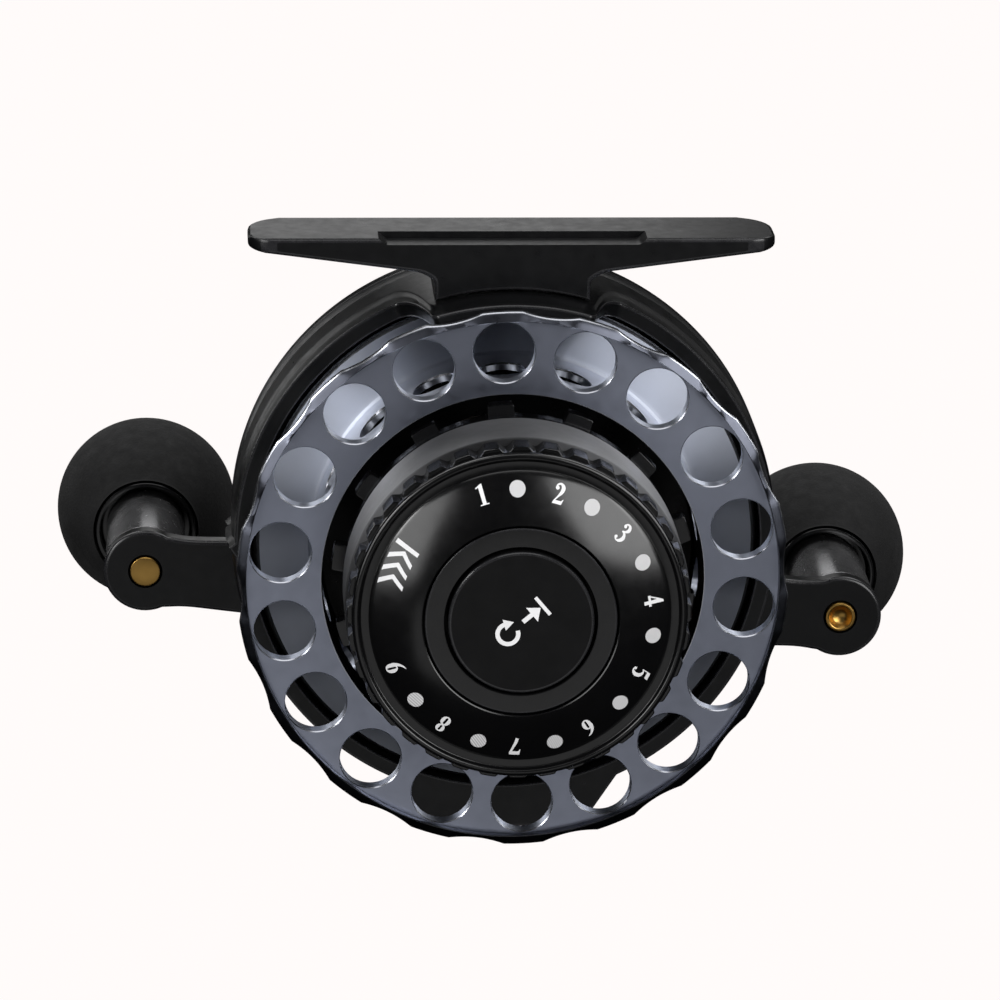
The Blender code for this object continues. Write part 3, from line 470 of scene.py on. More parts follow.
def as_object(name, built, surfaces):
    bmesh.ops.recalc_face_normals(built, faces=built.faces)
    bmesh.ops.scale(built, vec=(MM, MM, MM), verts=built.verts)
    mesh = bpy.data.meshes.new(name)
    built.to_mesh(mesh)
    built.free()
    for surface in surfaces:
        mesh.materials.append(surface)
    made = bpy.data.objects.new(name, mesh)
    bpy.context.scene.collection.objects.link(made)
    return made


def piece(name, built, surfaces, body, place=REEL, replaces=(), cuts=(), joins=(),
          sharp=32.0, self_touch=False):
    """A finished piece on a body: joined and cut with helper meshes, then shaded by its angles."""
    made = as_object(name, built, surfaces)
    helpers = []
    for operation, helper in [("UNION", j) for j in joins] + [("DIFFERENCE", c) for c in cuts]:
        tool = as_object(f"{name}_tool", helper, surfaces)
        step = made.modifiers.new("step", "BOOLEAN")
        step.operation = operation
        step.solver = "EXACT"
        step.use_self = self_touch
        step.object = tool
        helpers.append(tool)
    if helpers:
        graph = bpy.context.evaluated_depsgraph_get()
        result = bpy.data.meshes.new_from_object(made.evaluated_get(graph))
        made.modifiers.clear()
        made.data = result
        for tool in helpers:
            bpy.data.objects.remove(tool)
    mesh = made.data
    mesh.shade_smooth()
    mesh.set_sharp_from_angle(angle=math.radians(sharp))
    even_normals = made.modifiers.new("flat_faces_stay_flat", "WEIGHTED_NORMAL")
    even_normals.keep_sharp = True
    even_normals.weight = 80
    made.matrix_world = place
    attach(made, body)
    if replaces:
        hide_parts(*replaces)
    return made


# ---------------------------------------------------------------- spool

def build_spool():
    pitch = 360.0 / HOLES
    land = CROWN_LAND / 2
    angles = []
    for hole in range(HOLES):
        middle = HOLE_PHASE + hole * pitch
        angles += [middle + land * share for share in (-1.0, -0.75, -0.5, -0.25, 0.0, 0.25, 0.5, 0.75)]
        scallop = pitch - CROWN_LAND
        angles += [middle + land + scallop * step / 14 for step in range(14)]
    angles = sorted(angle % 360.0 for angle in angles)

    def rim_at(angle):
        off = abs((angle - HOLE_PHASE + pitch / 2) % pitch - pitch / 2)
        if off <= land + 1e-6:
            return CROWN_RADIUS
        share = (off - land) / (pitch / 2 - land)
        return CROWN_RADIUS - (CROWN_RADIUS - CROWN_VALLEY) * (1 - (1 - share) ** 2)

    def profile_at(angle):
        rim = rim_at(angle)
        face, polish, cut, dark, groove, land, bright = range(7)
        return soften([
            (OPENING_RADIUS, 0.0, 0.14, face, cut),
            # Painted shade: the raised rim's inner wall takes the dimmed land copy of the slate.
            (FACE_RADIUS + 0.1, 0.0, 0.05, land),
            (FACE_RADIUS + 0.1, CROWN_FRONT + 0.1, 0.0, cut),
            # Painted shade: the rim's front face and its back face take the dimmed groove copy of the slate.
            (FACE_RADIUS + 0.2, CROWN_FRONT, 0.0, groove),
            (rim - 0.5, CROWN_FRONT + 0.25, 0.0, groove),
            (rim - 0.14, CROWN_FRONT + 0.45, 0.0, cut),
            (rim, CROWN_FRONT + 0.58, 0.0, bright),
            (rim, CROWN_BACK - 0.12, 0.0, cut),
            (rim - 0.12, CROWN_BACK, 0.0, groove),
            (FLANGE_RADIUS, CROWN_BACK + 0.2, 0.0, groove),
            (FLANGE_RADIUS, FRONT_FLANGE - 0.14, 0.0, polish),
            (FLANGE_RADIUS - 0.14, FRONT_FLANGE, 0.0, polish),
            (ARBOR_RADIUS, FRONT_FLANGE, 0.9, polish),
            (ARBOR_RADIUS, REAR_FLANGE_FRONT, 0.9, polish),
            (REAR_FLANGE_RADIUS - 0.35, REAR_FLANGE_FRONT, 0.0, cut),
            (REAR_FLANGE_RADIUS, REAR_FLANGE_FRONT + 0.35, 0.0, polish),
            (REAR_FLANGE_RADIUS, REAR_FLANGE_BACK, 0.2, polish),
            (6.5, REAR_FLANGE_BACK, 0.3, face),
            (6.5, 18.8, 0.2, face),
            (4.9, 18.8, 0.15, face),
            # Painted shade: the dark slot makes the spool's inner recess, its wall and the hub face satin
            # black, so that they read as shaded.
            (4.9, 11.0, 0.15, dark),
            (6.5, 11.0, 0.2, dark),
            (6.5, 15.0, 0.4, dark),
            (OPENING_RADIUS, 15.0, 0.5, dark),
        ], True)

    drills = []
    for hole in range(HOLES):
        angle = HOLE_PHASE + hole * pitch
        turn_of = math.radians(angle)
        x, z = HOLE_CIRCLE * math.cos(turn_of), HOLE_CIRCLE * math.sin(turn_of)
        bore = [
            (0.0, -0.03, 2), (HOLE_RADIUS + CHAMFER + 0.03, -0.03, 2), (HOLE_RADIUS, CHAMFER, 1),
            (HOLE_RADIUS, FRONT_FLANGE - 0.2, 2), (HOLE_RADIUS + 0.7, FRONT_FLANGE + 0.5, 2),
            (0.0, FRONT_FLANGE + 0.5, 2),
        ]
        drills.append(shifted(lathe(lambda a: bore, even(56), False), x, 0.0, z))
        port = [
            (0.0, ARBOR_RADIUS - 1.4, 1), (PERFORATION_RADIUS, ARBOR_RADIUS - 1.4, 1),
            (PERFORATION_RADIUS, ARBOR_RADIUS - 0.22, 2), (PERFORATION_RADIUS + 1.0, ARBOR_RADIUS + 0.78, 2),
            (0.0, ARBOR_RADIUS + 0.78, 2),
        ]
        drill = lathe(lambda a: port, even(32), False)
        to_radial = Matrix.Rotation(math.radians(-90.0), 3, "Z")
        bmesh.ops.rotate(drill, cent=(0, 0, 0), matrix=to_radial, verts=drill.verts)
        drills.append(shifted(drill, spin=-angle, y=PERFORATION_Y))
    # Slots 3 to 5 carry painted shade: satin black in the inner recess, and dimmed slate on the rim's faces
    # and inner wall.
    surfaces = [SLATE, POLISHED, CUT_EDGE, BLACK_TURNED, RIM_GROOVE_PAINTED_SHADE, RIM_LAND_PAINTED_SHADE, RIM_BRIGHT]
    return piece("spool_body", lathe(profile_at, angles), surfaces, "spool",
                 replaces=("spool",), cuts=[merged(drills)])


# ---------------------------------------------------------------- frame

def hood_front_at(off):
    off = abs(off)
    if off <= HOOD_HALF_ANGLE - HOOD_CORNER_ANGLE:
        return HOOD_FRONT
    if off <= HOOD_HALF_ANGLE:
        across = (off - HOOD_HALF_ANGLE + HOOD_CORNER_ANGLE) / HOOD_CORNER_ANGLE
        return HOOD_FRONT + across**2
    if off >= HOOD_FLARE_ANGLE:
        return CUP_FRONT
    left = (HOOD_FLARE_ANGLE - off) / (HOOD_FLARE_ANGLE - HOOD_HALF_ANGLE)
    return CUP_FRONT - (CUP_FRONT - HOOD_FRONT - 1.0) * left**2.6


def lug_radius_at(off):
    off = math.radians(abs(off))
    to_end = -LUG_END_Z / math.cos(off)
    run, rise = LUG_TOP_HALF - LUG_END_HALF, LUG_TOP_Z - LUG_END_Z
    to_side = (LUG_END_HALF * rise - LUG_END_Z * run) / (math.sin(off) * rise + math.cos(off) * run)
    return max(CUP_OUTER, min(to_end, to_side))


def pillar_place(angle):
    return PILLAR_CIRCLE * math.cos(math.radians(angle)), PILLAR_CIRCLE * math.sin(math.radians(angle))


def upright(radius, y, low, high, surface=0):
    points = circle(radius, 32)
    return skin([[(x, y + z, height) for x, z in points] for height in (low, high)], surface)


def build_frame():
    quarters = [step * 0.25 for step in range(int(HOOD_FLARE_ANGLE / 0.25) + 1)]
    near_top = [off for off in quarters if off > 15.0]
    near_lug = [LUG_CORNER_ANGLE + step for step in (-0.4, 0.0, 0.4)]
    near_lug += [LUG_ROOT_ANGLE, LUG_ROOT_ANGLE - 0.25]
    angles = {float(angle) for angle in range(0, 360, 1)}
    angles |= {round(90.0 + side * off, 3) for off in near_top for side in (-1, 1)}
    angles |= {round(270.0 + side * off, 3) for off in near_lug for side in (-1, 1)}

    def profile_at(angle):
        front = hood_front_at(angle - 90.0)
        outer = lug_radius_at(angle - 270.0) if angle > 180.0 else CUP_OUTER
        return soften([
            (CUP_INNER, front, 0.22, 0, 1),
            (outer - 0.4, front, 0.32, 0, 1),
            (outer - 0.38, front + 2.1, 0.0, 0),
            (outer - 0.24, front + 2.9, 0.0, 0),
            (outer - 0.07, front + 3.7, 0.0, 0),
            (outer, front + 4.5, 0.0, 0),
            (outer, 25.45, 0.1, 0, 1),
            (outer - 0.42, 25.55, 0.0, 0),
            (outer - 0.4, 26.2, 0.0, 0),
            (outer - 0.24, 27.0, 0.0, 0),
            (outer - 0.07, 27.8, 0.0, 0),
            (outer, CUP_BACK, 0.25, 0, 1),
            (CASE_INNER, CUP_BACK, 0.2, 0),
            (CASE_INNER, PLATE_BACK, 0.4, 0),
            (7.5, PLATE_BACK, 0.2, 0),
            (7.5, PLATE_FRONT, 0.2, 0),
            (CUP_INNER, PLATE_FRONT, 0.6, 0),
        ], True)

    pillars, drills = [], []
    for angle in PILLAR_ANGLES:
        middle = pillar_place(angle)
        pillars.append(prism(circle(PILLAR_RADIUS, 32, middle), 20.9, CUP_BACK))
        drills.append(prism(circle(1.45, 24, middle), 23.0, CUP_BACK + 1.0))
    drills.append(prism(circle(5.25, 40, (0.0, -CENTRE_DISTANCE)), PLATE_FRONT - 1.0, 22.7))
    for y in FOOT_SCREWS_Y:
        drills.append(upright(1.5, y, CUP_INNER - 1.0, CUP_OUTER + 1.0))
        drills.append(upright(2.4, y, CUP_INNER - 1.2, CUP_INNER + 1.4))
    return piece("frame_body", lathe(profile_at, sorted(angles)), [BLACK, BLACK_EDGE], "reel",
                 replaces=("frame",), joins=[merged(pillars)],
                 cuts=[merged(drills)], self_touch=True)


def build_cover():
    profile = [
        (0.0, COVER_FRONT), (CUP_OUTER - 0.12, COVER_FRONT, 0.25, 0, 1), (CUP_OUTER, COVER_BACK, 0.9, 0, 1),
        (24.2, COVER_BACK, 0.3, 0), (23.0, COVER_BACK + 0.8, 0.3, 0, 1), (0.0, COVER_BACK + 0.8),
    ]
    boss = [
        (0.0, COVER_FRONT + 0.5), (BOSS_RADIUS + 0.9, COVER_FRONT + 0.5),
        (BOSS_RADIUS + 0.9, COVER_BACK + 1.6, 0.5, 0), (BOSS_RADIUS, COVER_BACK + 2.6, 0.4, 0),
        (BOSS_RADIUS, BOSS_BACK - 4.4, 0.1, 0), (BOSS_RADIUS - 0.3, BOSS_BACK - 4.2),
        (BOSS_RADIUS - 0.3, BOSS_BACK - 3.8), (BOSS_RADIUS, BOSS_BACK - 3.6, 0.1, 0),
        (BOSS_RADIUS, BOSS_BACK, 0.8, 0, 1), (0.0, BOSS_BACK),
    ]
    shaft = (0.0, -CENTRE_DISTANCE)
    drills = [
        prism(circle(6.0, 48, shaft), COVER_FRONT - 1.0, 36.2),
        prism(circle(3.5, 40, shaft), 35.2, BOSS_BACK + 1.0),
        prism(circle(1.4, 24), COVER_FRONT - 1.0, COVER_BACK + 2.0),
        shifted(turn([(0.0, COVER_BACK - 0.9), (3.3, COVER_BACK - 0.9), (3.3, COVER_BACK + 0.55),
                      (3.8, COVER_BACK + 1.05), (0.0, COVER_BACK + 1.05)], 40, False)),
    ]
    for angle in PILLAR_ANGLES:
        x, z = pillar_place(angle)
        drills.append(prism(circle(1.45, 24, (x, z)), COVER_FRONT - 1.0, COVER_BACK + 2.0))
        seat = turn([(0.0, COVER_BACK - 1.3), (2.35, COVER_BACK - 1.3), (2.35, COVER_BACK - 0.2),
                     (2.85, COVER_BACK + 0.3), (0.0, COVER_BACK + 0.3)], 40, False)
        drills.append(shifted(seat, x, 0.0, z))
    lid = turn(profile, 240, False)
    return piece("cover_body", lid, [BLACK_TURNED, BLACK_EDGE], "reel", replaces=("rear_cover",),
                 joins=[shifted(turn(boss, 96, False), z=-CENTRE_DISTANCE)],
                 cuts=[merged(drills)], self_touch=True)


def cross_recess(head_radius, head_back, depth):
    """A tapered cross, as a screwdriver needs."""
    arms = []
    for spin in (0.0, 90.0):
        sections = []
        for y, reach, half in ((head_back - depth, head_radius * 0.25, 0.16),
                               (head_back + 0.3, head_radius * 0.66, 0.3)):
            sections.append([(reach, y, half), (-reach, y, half), (-reach, y, -half), (reach, y, -half)])
        arms.append(shifted(skin(sections), spin=spin + 24.0))
    return arms


def build_screws():
    for number, angle in enumerate(PILLAR_ANGLES, 1):
        x, z = pillar_place(angle)
        head = turn([
            (0.0, 23.6), (1.15, 23.6, 0.2, 0), (1.15, COVER_BACK - 1.1),
            (2.05, COVER_BACK - 1.1, 0.1, 0), (2.05, COVER_BACK - 0.05, 0.35, 0), (0.0, COVER_BACK - 0.05),
        ], 48, False)
        first, second = cross_recess(2.05, COVER_BACK - 0.05, 0.7)
        place = REEL @ Matrix.Translation((x * MM, 0.0, z * MM))
        piece(f"cover_screw_fine_{number}", head, [STEEL], "reel", place,
              (f"cover_screw_{number}",), cuts=[first, second])
    head = turn([(0.0, 23.5), (1.1, 23.5, 0.2, 0), (1.1, COVER_BACK - 0.6), (3.0, COVER_BACK - 0.6, 0.1, 0),
                 (3.0, COVER_BACK + 0.5, 0.4, 0), (0.0, COVER_BACK + 0.5)], 64, False)
    first, second = cross_recess(3.0, COVER_BACK + 0.5, 0.8)
    piece("spindle_screw_fine", head, [STEEL], "reel", REEL, ("spindle_screw",),
          cuts=[first, second])


# ---------------------------------------------------------------- foot

def build_foot():
    seat = CUP_OUTER + STEM_GAP
    steps = 24
    arch = [STEM_HALF * (1 - 2 * step / steps) for step in range(steps + 1)]

    def outline_at(half, depth):
        top = AXIS_DROP - depth
        toe_z = AXIS_DROP - FOOT_TOE - (FOOT_HALF - half) * 0.14 + depth
        stem = STEM_HALF - depth
        side = [
            (0.0, top, 0.0, 0),
            (half - depth, top, 0.45 - 0.6 * depth, 0),
            (half - depth, toe_z, 0.5 - 0.6 * depth, 0),
            (stem + 1.6, FOOT_ROOT_Z + 0.1 + depth, 0.9, 0),
            (stem, FOOT_ROOT_Z - 0.9 + depth, 0.7, 0),
            (stem, math.sqrt(seat**2 - STEM_HALF**2) + depth, 0.0, 0),
        ]
        side = [(x, z) for x, z, _ in soften(side, False, 4)][1:-1]
        bottom = [(x * stem / STEM_HALF, math.sqrt(seat**2 - x**2) + depth) for x in arch]
        return side + bottom + [(-x, z) for x, z in reversed(side)]

    def corner_loss(corner, from_edge):
        if from_edge >= corner:
            return 0.0
        return corner - math.sqrt(max(0.0, corner**2 - (corner - from_edge) ** 2))

    def section_at(y, depth):
        lost = corner_loss(FOOT_FRONT_CORNER, y - FOOT_FRONT)
        lost += corner_loss(FOOT_BACK_CORNER, FOOT_FRONT + FOOT_DEPTH - y)
        return [(x, y, z) for x, z in outline_at(FOOT_HALF - lost, depth)]

    rounding = ((0.0, 0.42), (0.06, 0.2), (0.18, 0.07), (0.4, 0.0))

    def levels(corner):
        shares = (0.22, 0.33, 0.47, 0.64, 0.82, 1.0)
        return list(rounding) + [(share * corner, 0.0) for share in shares]

    ys = [(FOOT_FRONT + step, depth) for step, depth in levels(FOOT_FRONT_CORNER)]
    ys += [(FOOT_FRONT + FOOT_DEPTH - step, depth) for step, depth in reversed(levels(FOOT_BACK_CORNER))]
    edges = (0, 1, 2, len(ys) - 4, len(ys) - 3, len(ys) - 2)
    body = skin([section_at(y, depth) for y, depth in ys], 0, edges)
    floor = AXIS_DROP - 0.7
    half, slope = 15.0, 1.6
    above = AXIS_DROP + 0.6
    relief = [(-half - slope, above), (-half, floor), (half, floor), (half + slope, above)]
    relief = [(x, z) for x, z, _ in soften([(x, z, 0.35, 0) for x, z in relief], True, 4)]
    cutters = [prism(relief, FOOT_FRONT - 1.0, FOOT_FRONT + 4.2)]
    for y in FOOT_SCREWS_Y:
        cutters.append(upright(1.45, y, CUP_OUTER - 1.0, AXIS_DROP - 1.7))
    return piece("foot_body", body, [BLACK, BLACK_EDGE], "reel", replaces=("foot",),
                 cuts=[merged(cutters)])


# ---------------------------------------------------------------- brake and dial

def build_drum():
    profile = [
        (DRUM_RADIUS, DRUM_FRONT, 0.25, 0), (DRUM_RADIUS, DRUM_BACK, 0.4, 0, 1),
        (2.15, DRUM_BACK, 0.1, 0), (2.15, DRUM_BACK - 1.5, 0.1, 0),
        (DRUM_RADIUS - 1.5, DRUM_BACK - 1.5, 0.3, 0), (DRUM_RADIUS - 1.5, DRUM_FRONT, 0.2, 0),
    ]
    return piece("drum_body", turn(profile, 240), [SATIN, COLLAR], "reel",
                 replaces=("brake_drum",))


def build_lug_ring():
    levels = {}
    for lug in range(LUGS):
        middle = LUG_PHASE + lug * 360.0 / LUGS
        half = LUG_ANGLE / 2
        for off, radius in ((-half - 0.5, LUG_RING_RADIUS), (-half - 0.02, LUG_RADIUS - 0.14),
                            (-half + 0.36, LUG_RADIUS), (half - 0.36, LUG_RADIUS),
                            (half + 0.02, LUG_RADIUS - 0.14), (half + 0.5, LUG_RING_RADIUS)):
            levels[round(middle + off, 4)] = radius
        for step in (0.33, 0.66):
            levels[round(middle - half + step * LUG_ANGLE, 4)] = LUG_RADIUS
        gap = 360.0 / LUGS - LUG_ANGLE - 1.0
        for step in range(1, 8):
            levels[round(middle + half + 0.5 + gap * step / 8, 4)] = LUG_RING_RADIUS
    angles = sorted(levels)
    front, back = DRUM_BACK + 0.4, DRUM_BACK + 2.6

    def profile_at(angle):
        radius = levels[angle]
        return soften([(17.6, front, 0.1, 0), (radius, front, 0.16, 0), (radius, back, 0.16, 0),
                       (17.6, back, 0.1, 0)], True, 2)

    return piece("lug_ring_fine", lathe(profile_at, angles), [GLOSS], "spool",
                 replaces=("lug_ring",))


def cone_y(radius):
    """The dial's face: nearly a cone, slightly crowned."""
    share = (CONE_OUTER - radius) / (CONE_OUTER - CONE_INNER)
    return CONE_OUTER_Y + (CONE_INNER_Y - CONE_OUTER_Y) * share - CONE_BULGE * 4 * share * (1 - share)


def build_dial_cap():
    face = []
    for step in range(13):
        radius = CONE_INNER + 0.12 + (CONE_OUTER - 0.1 - CONE_INNER - 0.12) * step / 12
        face.append((radius, cone_y(radius), 0.0, 0))
    skirt = 17.2
    rest = [
        (CONE_OUTER, CONE_OUTER_Y + 0.06, 0.0, 0),
        (CONE_OUTER + 0.02, CONE_OUTER_Y + 0.3, 0.06, 1),
        (18.5, CONE_OUTER_Y + 0.3, 0.1, 0),
        (18.78, CONE_OUTER_Y - 0.28, 0.2, 0),
        (DIAL_RADIUS - 0.12, CONE_OUTER_Y - 0.22, 0.34, 0),
        (DIAL_RADIUS, GRIP_FRONT - 0.2, 0.15, 0),
        (skirt, GRIP_FRONT - 0.2, 0.0, 0),
        (skirt, GRIP_BACK - 0.1, 0.15, 0),
        (skirt - 0.9, GRIP_BACK - 0.1, 0.15, 0),
        (skirt - 0.9, CONE_OUTER_Y + 1.3, 0.3, 0),
        (CONE_INNER, CONE_INNER_Y + 1.6, 0.1, 0),
        (CONE_INNER, CONE_INNER_Y + 0.1, 0.0, 0),
    ]
    return piece("dial_cap_fine", lathe_profile(face + rest, 288), [GLOSS, GLOSS], "dial",
                 replaces=("dial_cap",), sharp=28.0)


def lathe_profile(corners, steps):
    profile = soften(corners, True, 4)
    return lathe(lambda angle: profile, even(steps))


def build_grip():
    pitch = 360.0 / GRIP_LOBES
    levels = {}
    land = 0.24
    for lobe in range(GRIP_LOBES):
        for step in range(12):
            share = step / 12
            off = abs((share + 0.5) % 1.0 - 0.5) * 2
            dip = 0.0
            if off > land * 2:
                across = (off - land * 2) / (1 - land * 2)
                dip = math.sin(across * math.pi / 2) ** 1.3
            levels[round((lobe + share) * pitch, 4)] = GRIP_RADIUS - (GRIP_RADIUS - GRIP_VALLEY) * dip
    angles = sorted(levels)

    def profile_at(angle):
        rim = levels[angle]
        return soften([(17.5, GRIP_FRONT, 0.1, 0), (rim, GRIP_FRONT, 0.22, 0), (rim, GRIP_BACK, 0.22, 0),
                       (17.5, GRIP_BACK, 0.1, 0)], True, 2)

    return piece("grip_ring_fine", lathe(profile_at, angles), [GLOSS], "dial",
                 replaces=("grip_ring",), sharp=38.0)


def build_guide():
    inner, outer = BUTTON_RADIUS + 0.35, CONE_INNER - 0.25
    profile = [
        (inner, CONE_INNER_Y + 0.1, 0.25, 0), (outer, CONE_INNER_Y + 0.1, 0.22, 0, 1),
        (outer, -12.8, 0.1, 0), (inner, -12.8, 0.1, 0),
    ]
    return piece("button_guide_fine", turn(profile, 240), [GLOSS, BLACK_EDGE], "dial",
                 replaces=("button_guide",))


def build_button():
    profile = [
        (0.0, BUTTON_FRONT), (BUTTON_RADIUS, BUTTON_FRONT, 0.34, 0, 1), (BUTTON_RADIUS, BUTTON_BACK, 0.2, 0),
        (4.6, BUTTON_BACK, 0.1, 0), (4.6, BUTTON_FRONT + 1.4, 0.2, 0), (1.45, BUTTON_FRONT + 1.4, 0.2, 0),
        (1.45, -13.0, 0.2, 0), (0.0, -13.0),
    ]
    return piece("reset_button_fine", turn(profile, 160, False), [MATTE, BLACK_EDGE], "button",
                 replaces=("reset_button",))


def build_button_spring():
    """A coil short enough that the button clears it when pressed all the way in."""
    coil_radius, wire, turns, front, back = 3.2, 0.25, 3, BUTTON_FRONT + 2.9, -12.7
    sections = []
    for step in range(turns * 24 + 1):
        share = step / (turns * 24)
        angle = 2 * math.pi * turns * share
        middle_y = front + wire + (back - front - 2 * wire) * share
        section = []
        for a, b in circle(wire, 10):
            reach = coil_radius + a
            section.append((reach * math.cos(angle), middle_y + b, reach * math.sin(angle)))
        sections.append(section)
    spring = skin(sections)
    bmesh.ops.recalc_face_normals(spring, faces=spring.faces)
    return piece("button_spring_fine", spring, [STEEL], "dial", replaces=("button_spring",))


# ---------------------------------------------------------------- printed marks

def ribbon(points, steps=5):
    """A pen stroke as an outline; each point is (across, up, half-width)."""
    line = smooth_line(points, steps)
    left, right = [], []
    for index, point in enumerate(line):
        ahead = line[min(index + 1, len(line) - 1)] - line[max(index - 1, 0)]
        side = Vector((-ahead.y, ahead.x)).normalized() * point.z
        left.append((point.x + side.x, point.y + side.y))
        right.append((point.x - side.x, point.y - side.y))
    return left + right[::-1]


def loop(cx, cy, rx, ry, thin=0.035, thick=0.062):
    """An upright ring, thick at its sides, as two outlines that overlap a little."""
    halves = []
    for start in (0, 180):
        points = []
        for step in range(-1, 10):
            angle = math.radians(start + step * 22.5 * 0.9)
            width = thin + thick * math.cos(angle) ** 2
            points.append((cx + (rx - width * 0.4) * math.cos(angle), cy + ry * math.sin(angle), width))
        halves.append(ribbon(points, 2))
    return halves


def ball(cx, cy, radius):
    return [circle(radius, 14, (cx, cy))]


def bar(*corners):
    return [list(corners)]


def half_turn(outlines, middle=(0.3, 0.5)):
    return [[(2 * middle[0] - x, 2 * middle[1] - y) for x, y in outline] for outline in outlines]


def numerals():
    """The digits 1 to 9 in a bold face with thick and thin strokes, one unit high."""
    six = loop(0.31, 0.29, 0.19, 0.27) + [ribbon([
        (0.53, 0.965, 0.018), (0.36, 0.87, 0.045), (0.2, 0.66, 0.075), (0.135, 0.42, 0.09),
        (0.15, 0.25, 0.07)])]
    return {
        1: bar((0.2, 0.03), (0.4, 0.03), (0.4, 1.0), (0.34, 1.0), (0.06, 0.87), (0.07, 0.82), (0.2, 0.86))
        + bar((0.06, 0.0), (0.54, 0.0), (0.54, 0.055), (0.06, 0.055)),
        2: ball(0.16, 0.75, 0.09) + [ribbon([
            (0.09, 0.74, 0.03), (0.16, 0.9, 0.04), (0.31, 0.95, 0.055), (0.44, 0.82, 0.09),
            (0.42, 0.6, 0.085), (0.26, 0.34, 0.04), (0.08, 0.1, 0.03)])]
        + bar((0.03, 0.0), (0.53, 0.0), (0.6, 0.26), (0.56, 0.27), (0.49, 0.17), (0.12, 0.17), (0.03, 0.06)),
        3: ball(0.15, 0.79, 0.08) + ball(0.12, 0.14, 0.085) + [
            ribbon([(0.08, 0.81, 0.025), (0.19, 0.94, 0.04), (0.34, 0.93, 0.065), (0.42, 0.77, 0.085),
                    (0.33, 0.61, 0.05), (0.18, 0.53, 0.028)]),
            ribbon([(0.19, 0.535, 0.03), (0.36, 0.5, 0.06), (0.47, 0.3, 0.1), (0.39, 0.11, 0.075),
                    (0.22, 0.035, 0.035), (0.08, 0.1, 0.03)])],
        4: [ribbon([(0.04, 0.29, 0.03), (0.2, 0.61, 0.032), (0.37, 0.96, 0.035)])]
        + bar((0.0, 0.23), (0.58, 0.23), (0.58, 0.36), (0.0, 0.36))
        + bar((0.27, 0.0), (0.46, 0.0), (0.46, 1.0), (0.37, 1.0), (0.27, 0.8)),
        5: ball(0.12, 0.11, 0.08) + bar((0.17, 0.81), (0.5, 0.81), (0.56, 1.0), (0.2, 1.0)) + [
            ribbon([(0.21, 0.96, 0.022), (0.15, 0.74, 0.022), (0.1, 0.52, 0.022)]),
            ribbon([(0.09, 0.55, 0.02), (0.24, 0.6, 0.05), (0.41, 0.5, 0.09), (0.45, 0.28, 0.1),
                    (0.35, 0.1, 0.07), (0.2, 0.03, 0.035), (0.09, 0.07, 0.03)])],
        6: six,
        7: bar((0.05, 0.8), (0.57, 0.8), (0.57, 0.95), (0.56, 1.0), (0.08, 1.0))
        + bar((0.03, 0.68), (0.07, 0.68), (0.14, 0.82), (0.1, 1.0), (0.08, 1.0))
        + [ribbon([(0.53, 0.9, 0.045), (0.4, 0.55, 0.06), (0.27, 0.22, 0.08), (0.22, 0.0, 0.09)])],
        8: loop(0.3, 0.75, 0.17, 0.2, 0.03, 0.055) + loop(0.3, 0.27, 0.2, 0.24, 0.035, 0.06),
        9: half_turn(six),
    }


def slow_drop_mark():
    """Three chevrons that point down to a bar: the dial's slow-drop setting."""
    outlines = []
    tip, thick = 0.36, 0.2
    for place in (0.0, 0.52, 1.04):
        outlines += bar((place, 1.0), (place + thick, 1.0), (place + thick + tip, 0.5),
                        (place + thick, 0.0), (place, 0.0), (place + tip, 0.5))
    outlines += bar((1.68, 0.0), (1.86, 0.0), (1.86, 1.0), (1.68, 1.0))
    return outlines


def reset_mark():
    """An open ring with an arrow head, and an arrow against a stop."""
    ring_points = []
    for step in range(15):
        angle = math.radians(60.0 + 20.0 * step)
        ring_points.append((0.45 + 0.4 * math.cos(angle), 0.5 + 0.4 * math.sin(angle), 0.085))
    outlines = [ribbon(ring_points, 2)]
    outlines += bar((0.66, 1.08), (0.48, 0.66), (0.93, 0.72))
    outlines += bar((1.2, 0.41), (1.75, 0.41), (1.75, 0.59), (1.2, 0.59))
    outlines += bar((1.65, 0.14), (2.08, 0.5), (1.65, 0.86))
    outlines += bar((2.12, 0.05), (2.26, 0.05), (2.26, 0.95), (2.12, 0.95))
    return outlines


def dense(outline, longest):
    points = []
    for index, (x, y) in enumerate(outline):
        here, after = Vector((x, y)), Vector(outline[(index + 1) % len(outline)])
        pieces = max(1, math.ceil((after - here).length / longest))
        points += [here.lerp(after, step / pieces) for step in range(pieces)]
    return points


def flat_mark(outlines, size, width, sink, proud):
    """The union of outlines one unit high, as one thin solid `size` millimetres high about its middle."""
    points, faces = [], []
    for outline in outlines:
        placed = [((x - width / 2) * size, (y - 0.5) * size) for x, y in outline]
        if signed_area(placed) < 0.0:
            placed.reverse()
        start = len(points)
        points += dense(placed, 0.3)
        faces.append(list(range(start, len(points))))
    grid = 0.32
    reach = [max(abs(p[axis]) for p in points) for axis in (0, 1)]
    counts = [int(side / grid) for side in reach]
    for i in range(-counts[0], counts[0] + 1):
        for j in range(-counts[1], counts[1] + 1):
            points.append(Vector((i * grid + 0.011 * (j % 2), j * grid + 0.007)))
    found = delaunay_2d_cdt(points, [], faces, 1, 1e-4)
    kept = [face for face, sources in zip(found[2], found[5]) if sources]
    built = bmesh.new()
    layers = []
    for depth in (-proud, sink):
        layers.append([built.verts.new((p.x, depth, p.y)) for p in found[0]])
    sides = {}
    for face in kept:
        built.faces.new([layers[0][i] for i in face])
        built.faces.new([layers[1][i] for i in reversed(face)])
        for first, second in zip(face, face[1:] + face[:1]):
            sides[(first, second)] = True
    for first, second in sides:
        if (second, first) not in sides:
            built.faces.new((layers[0][second], layers[0][first], layers[1][first], layers[1][second]))
    loose = [vert for vert in built.verts if not vert.link_faces]
    bmesh.ops.delete(built, geom=loose, context="VERTS")
    return built


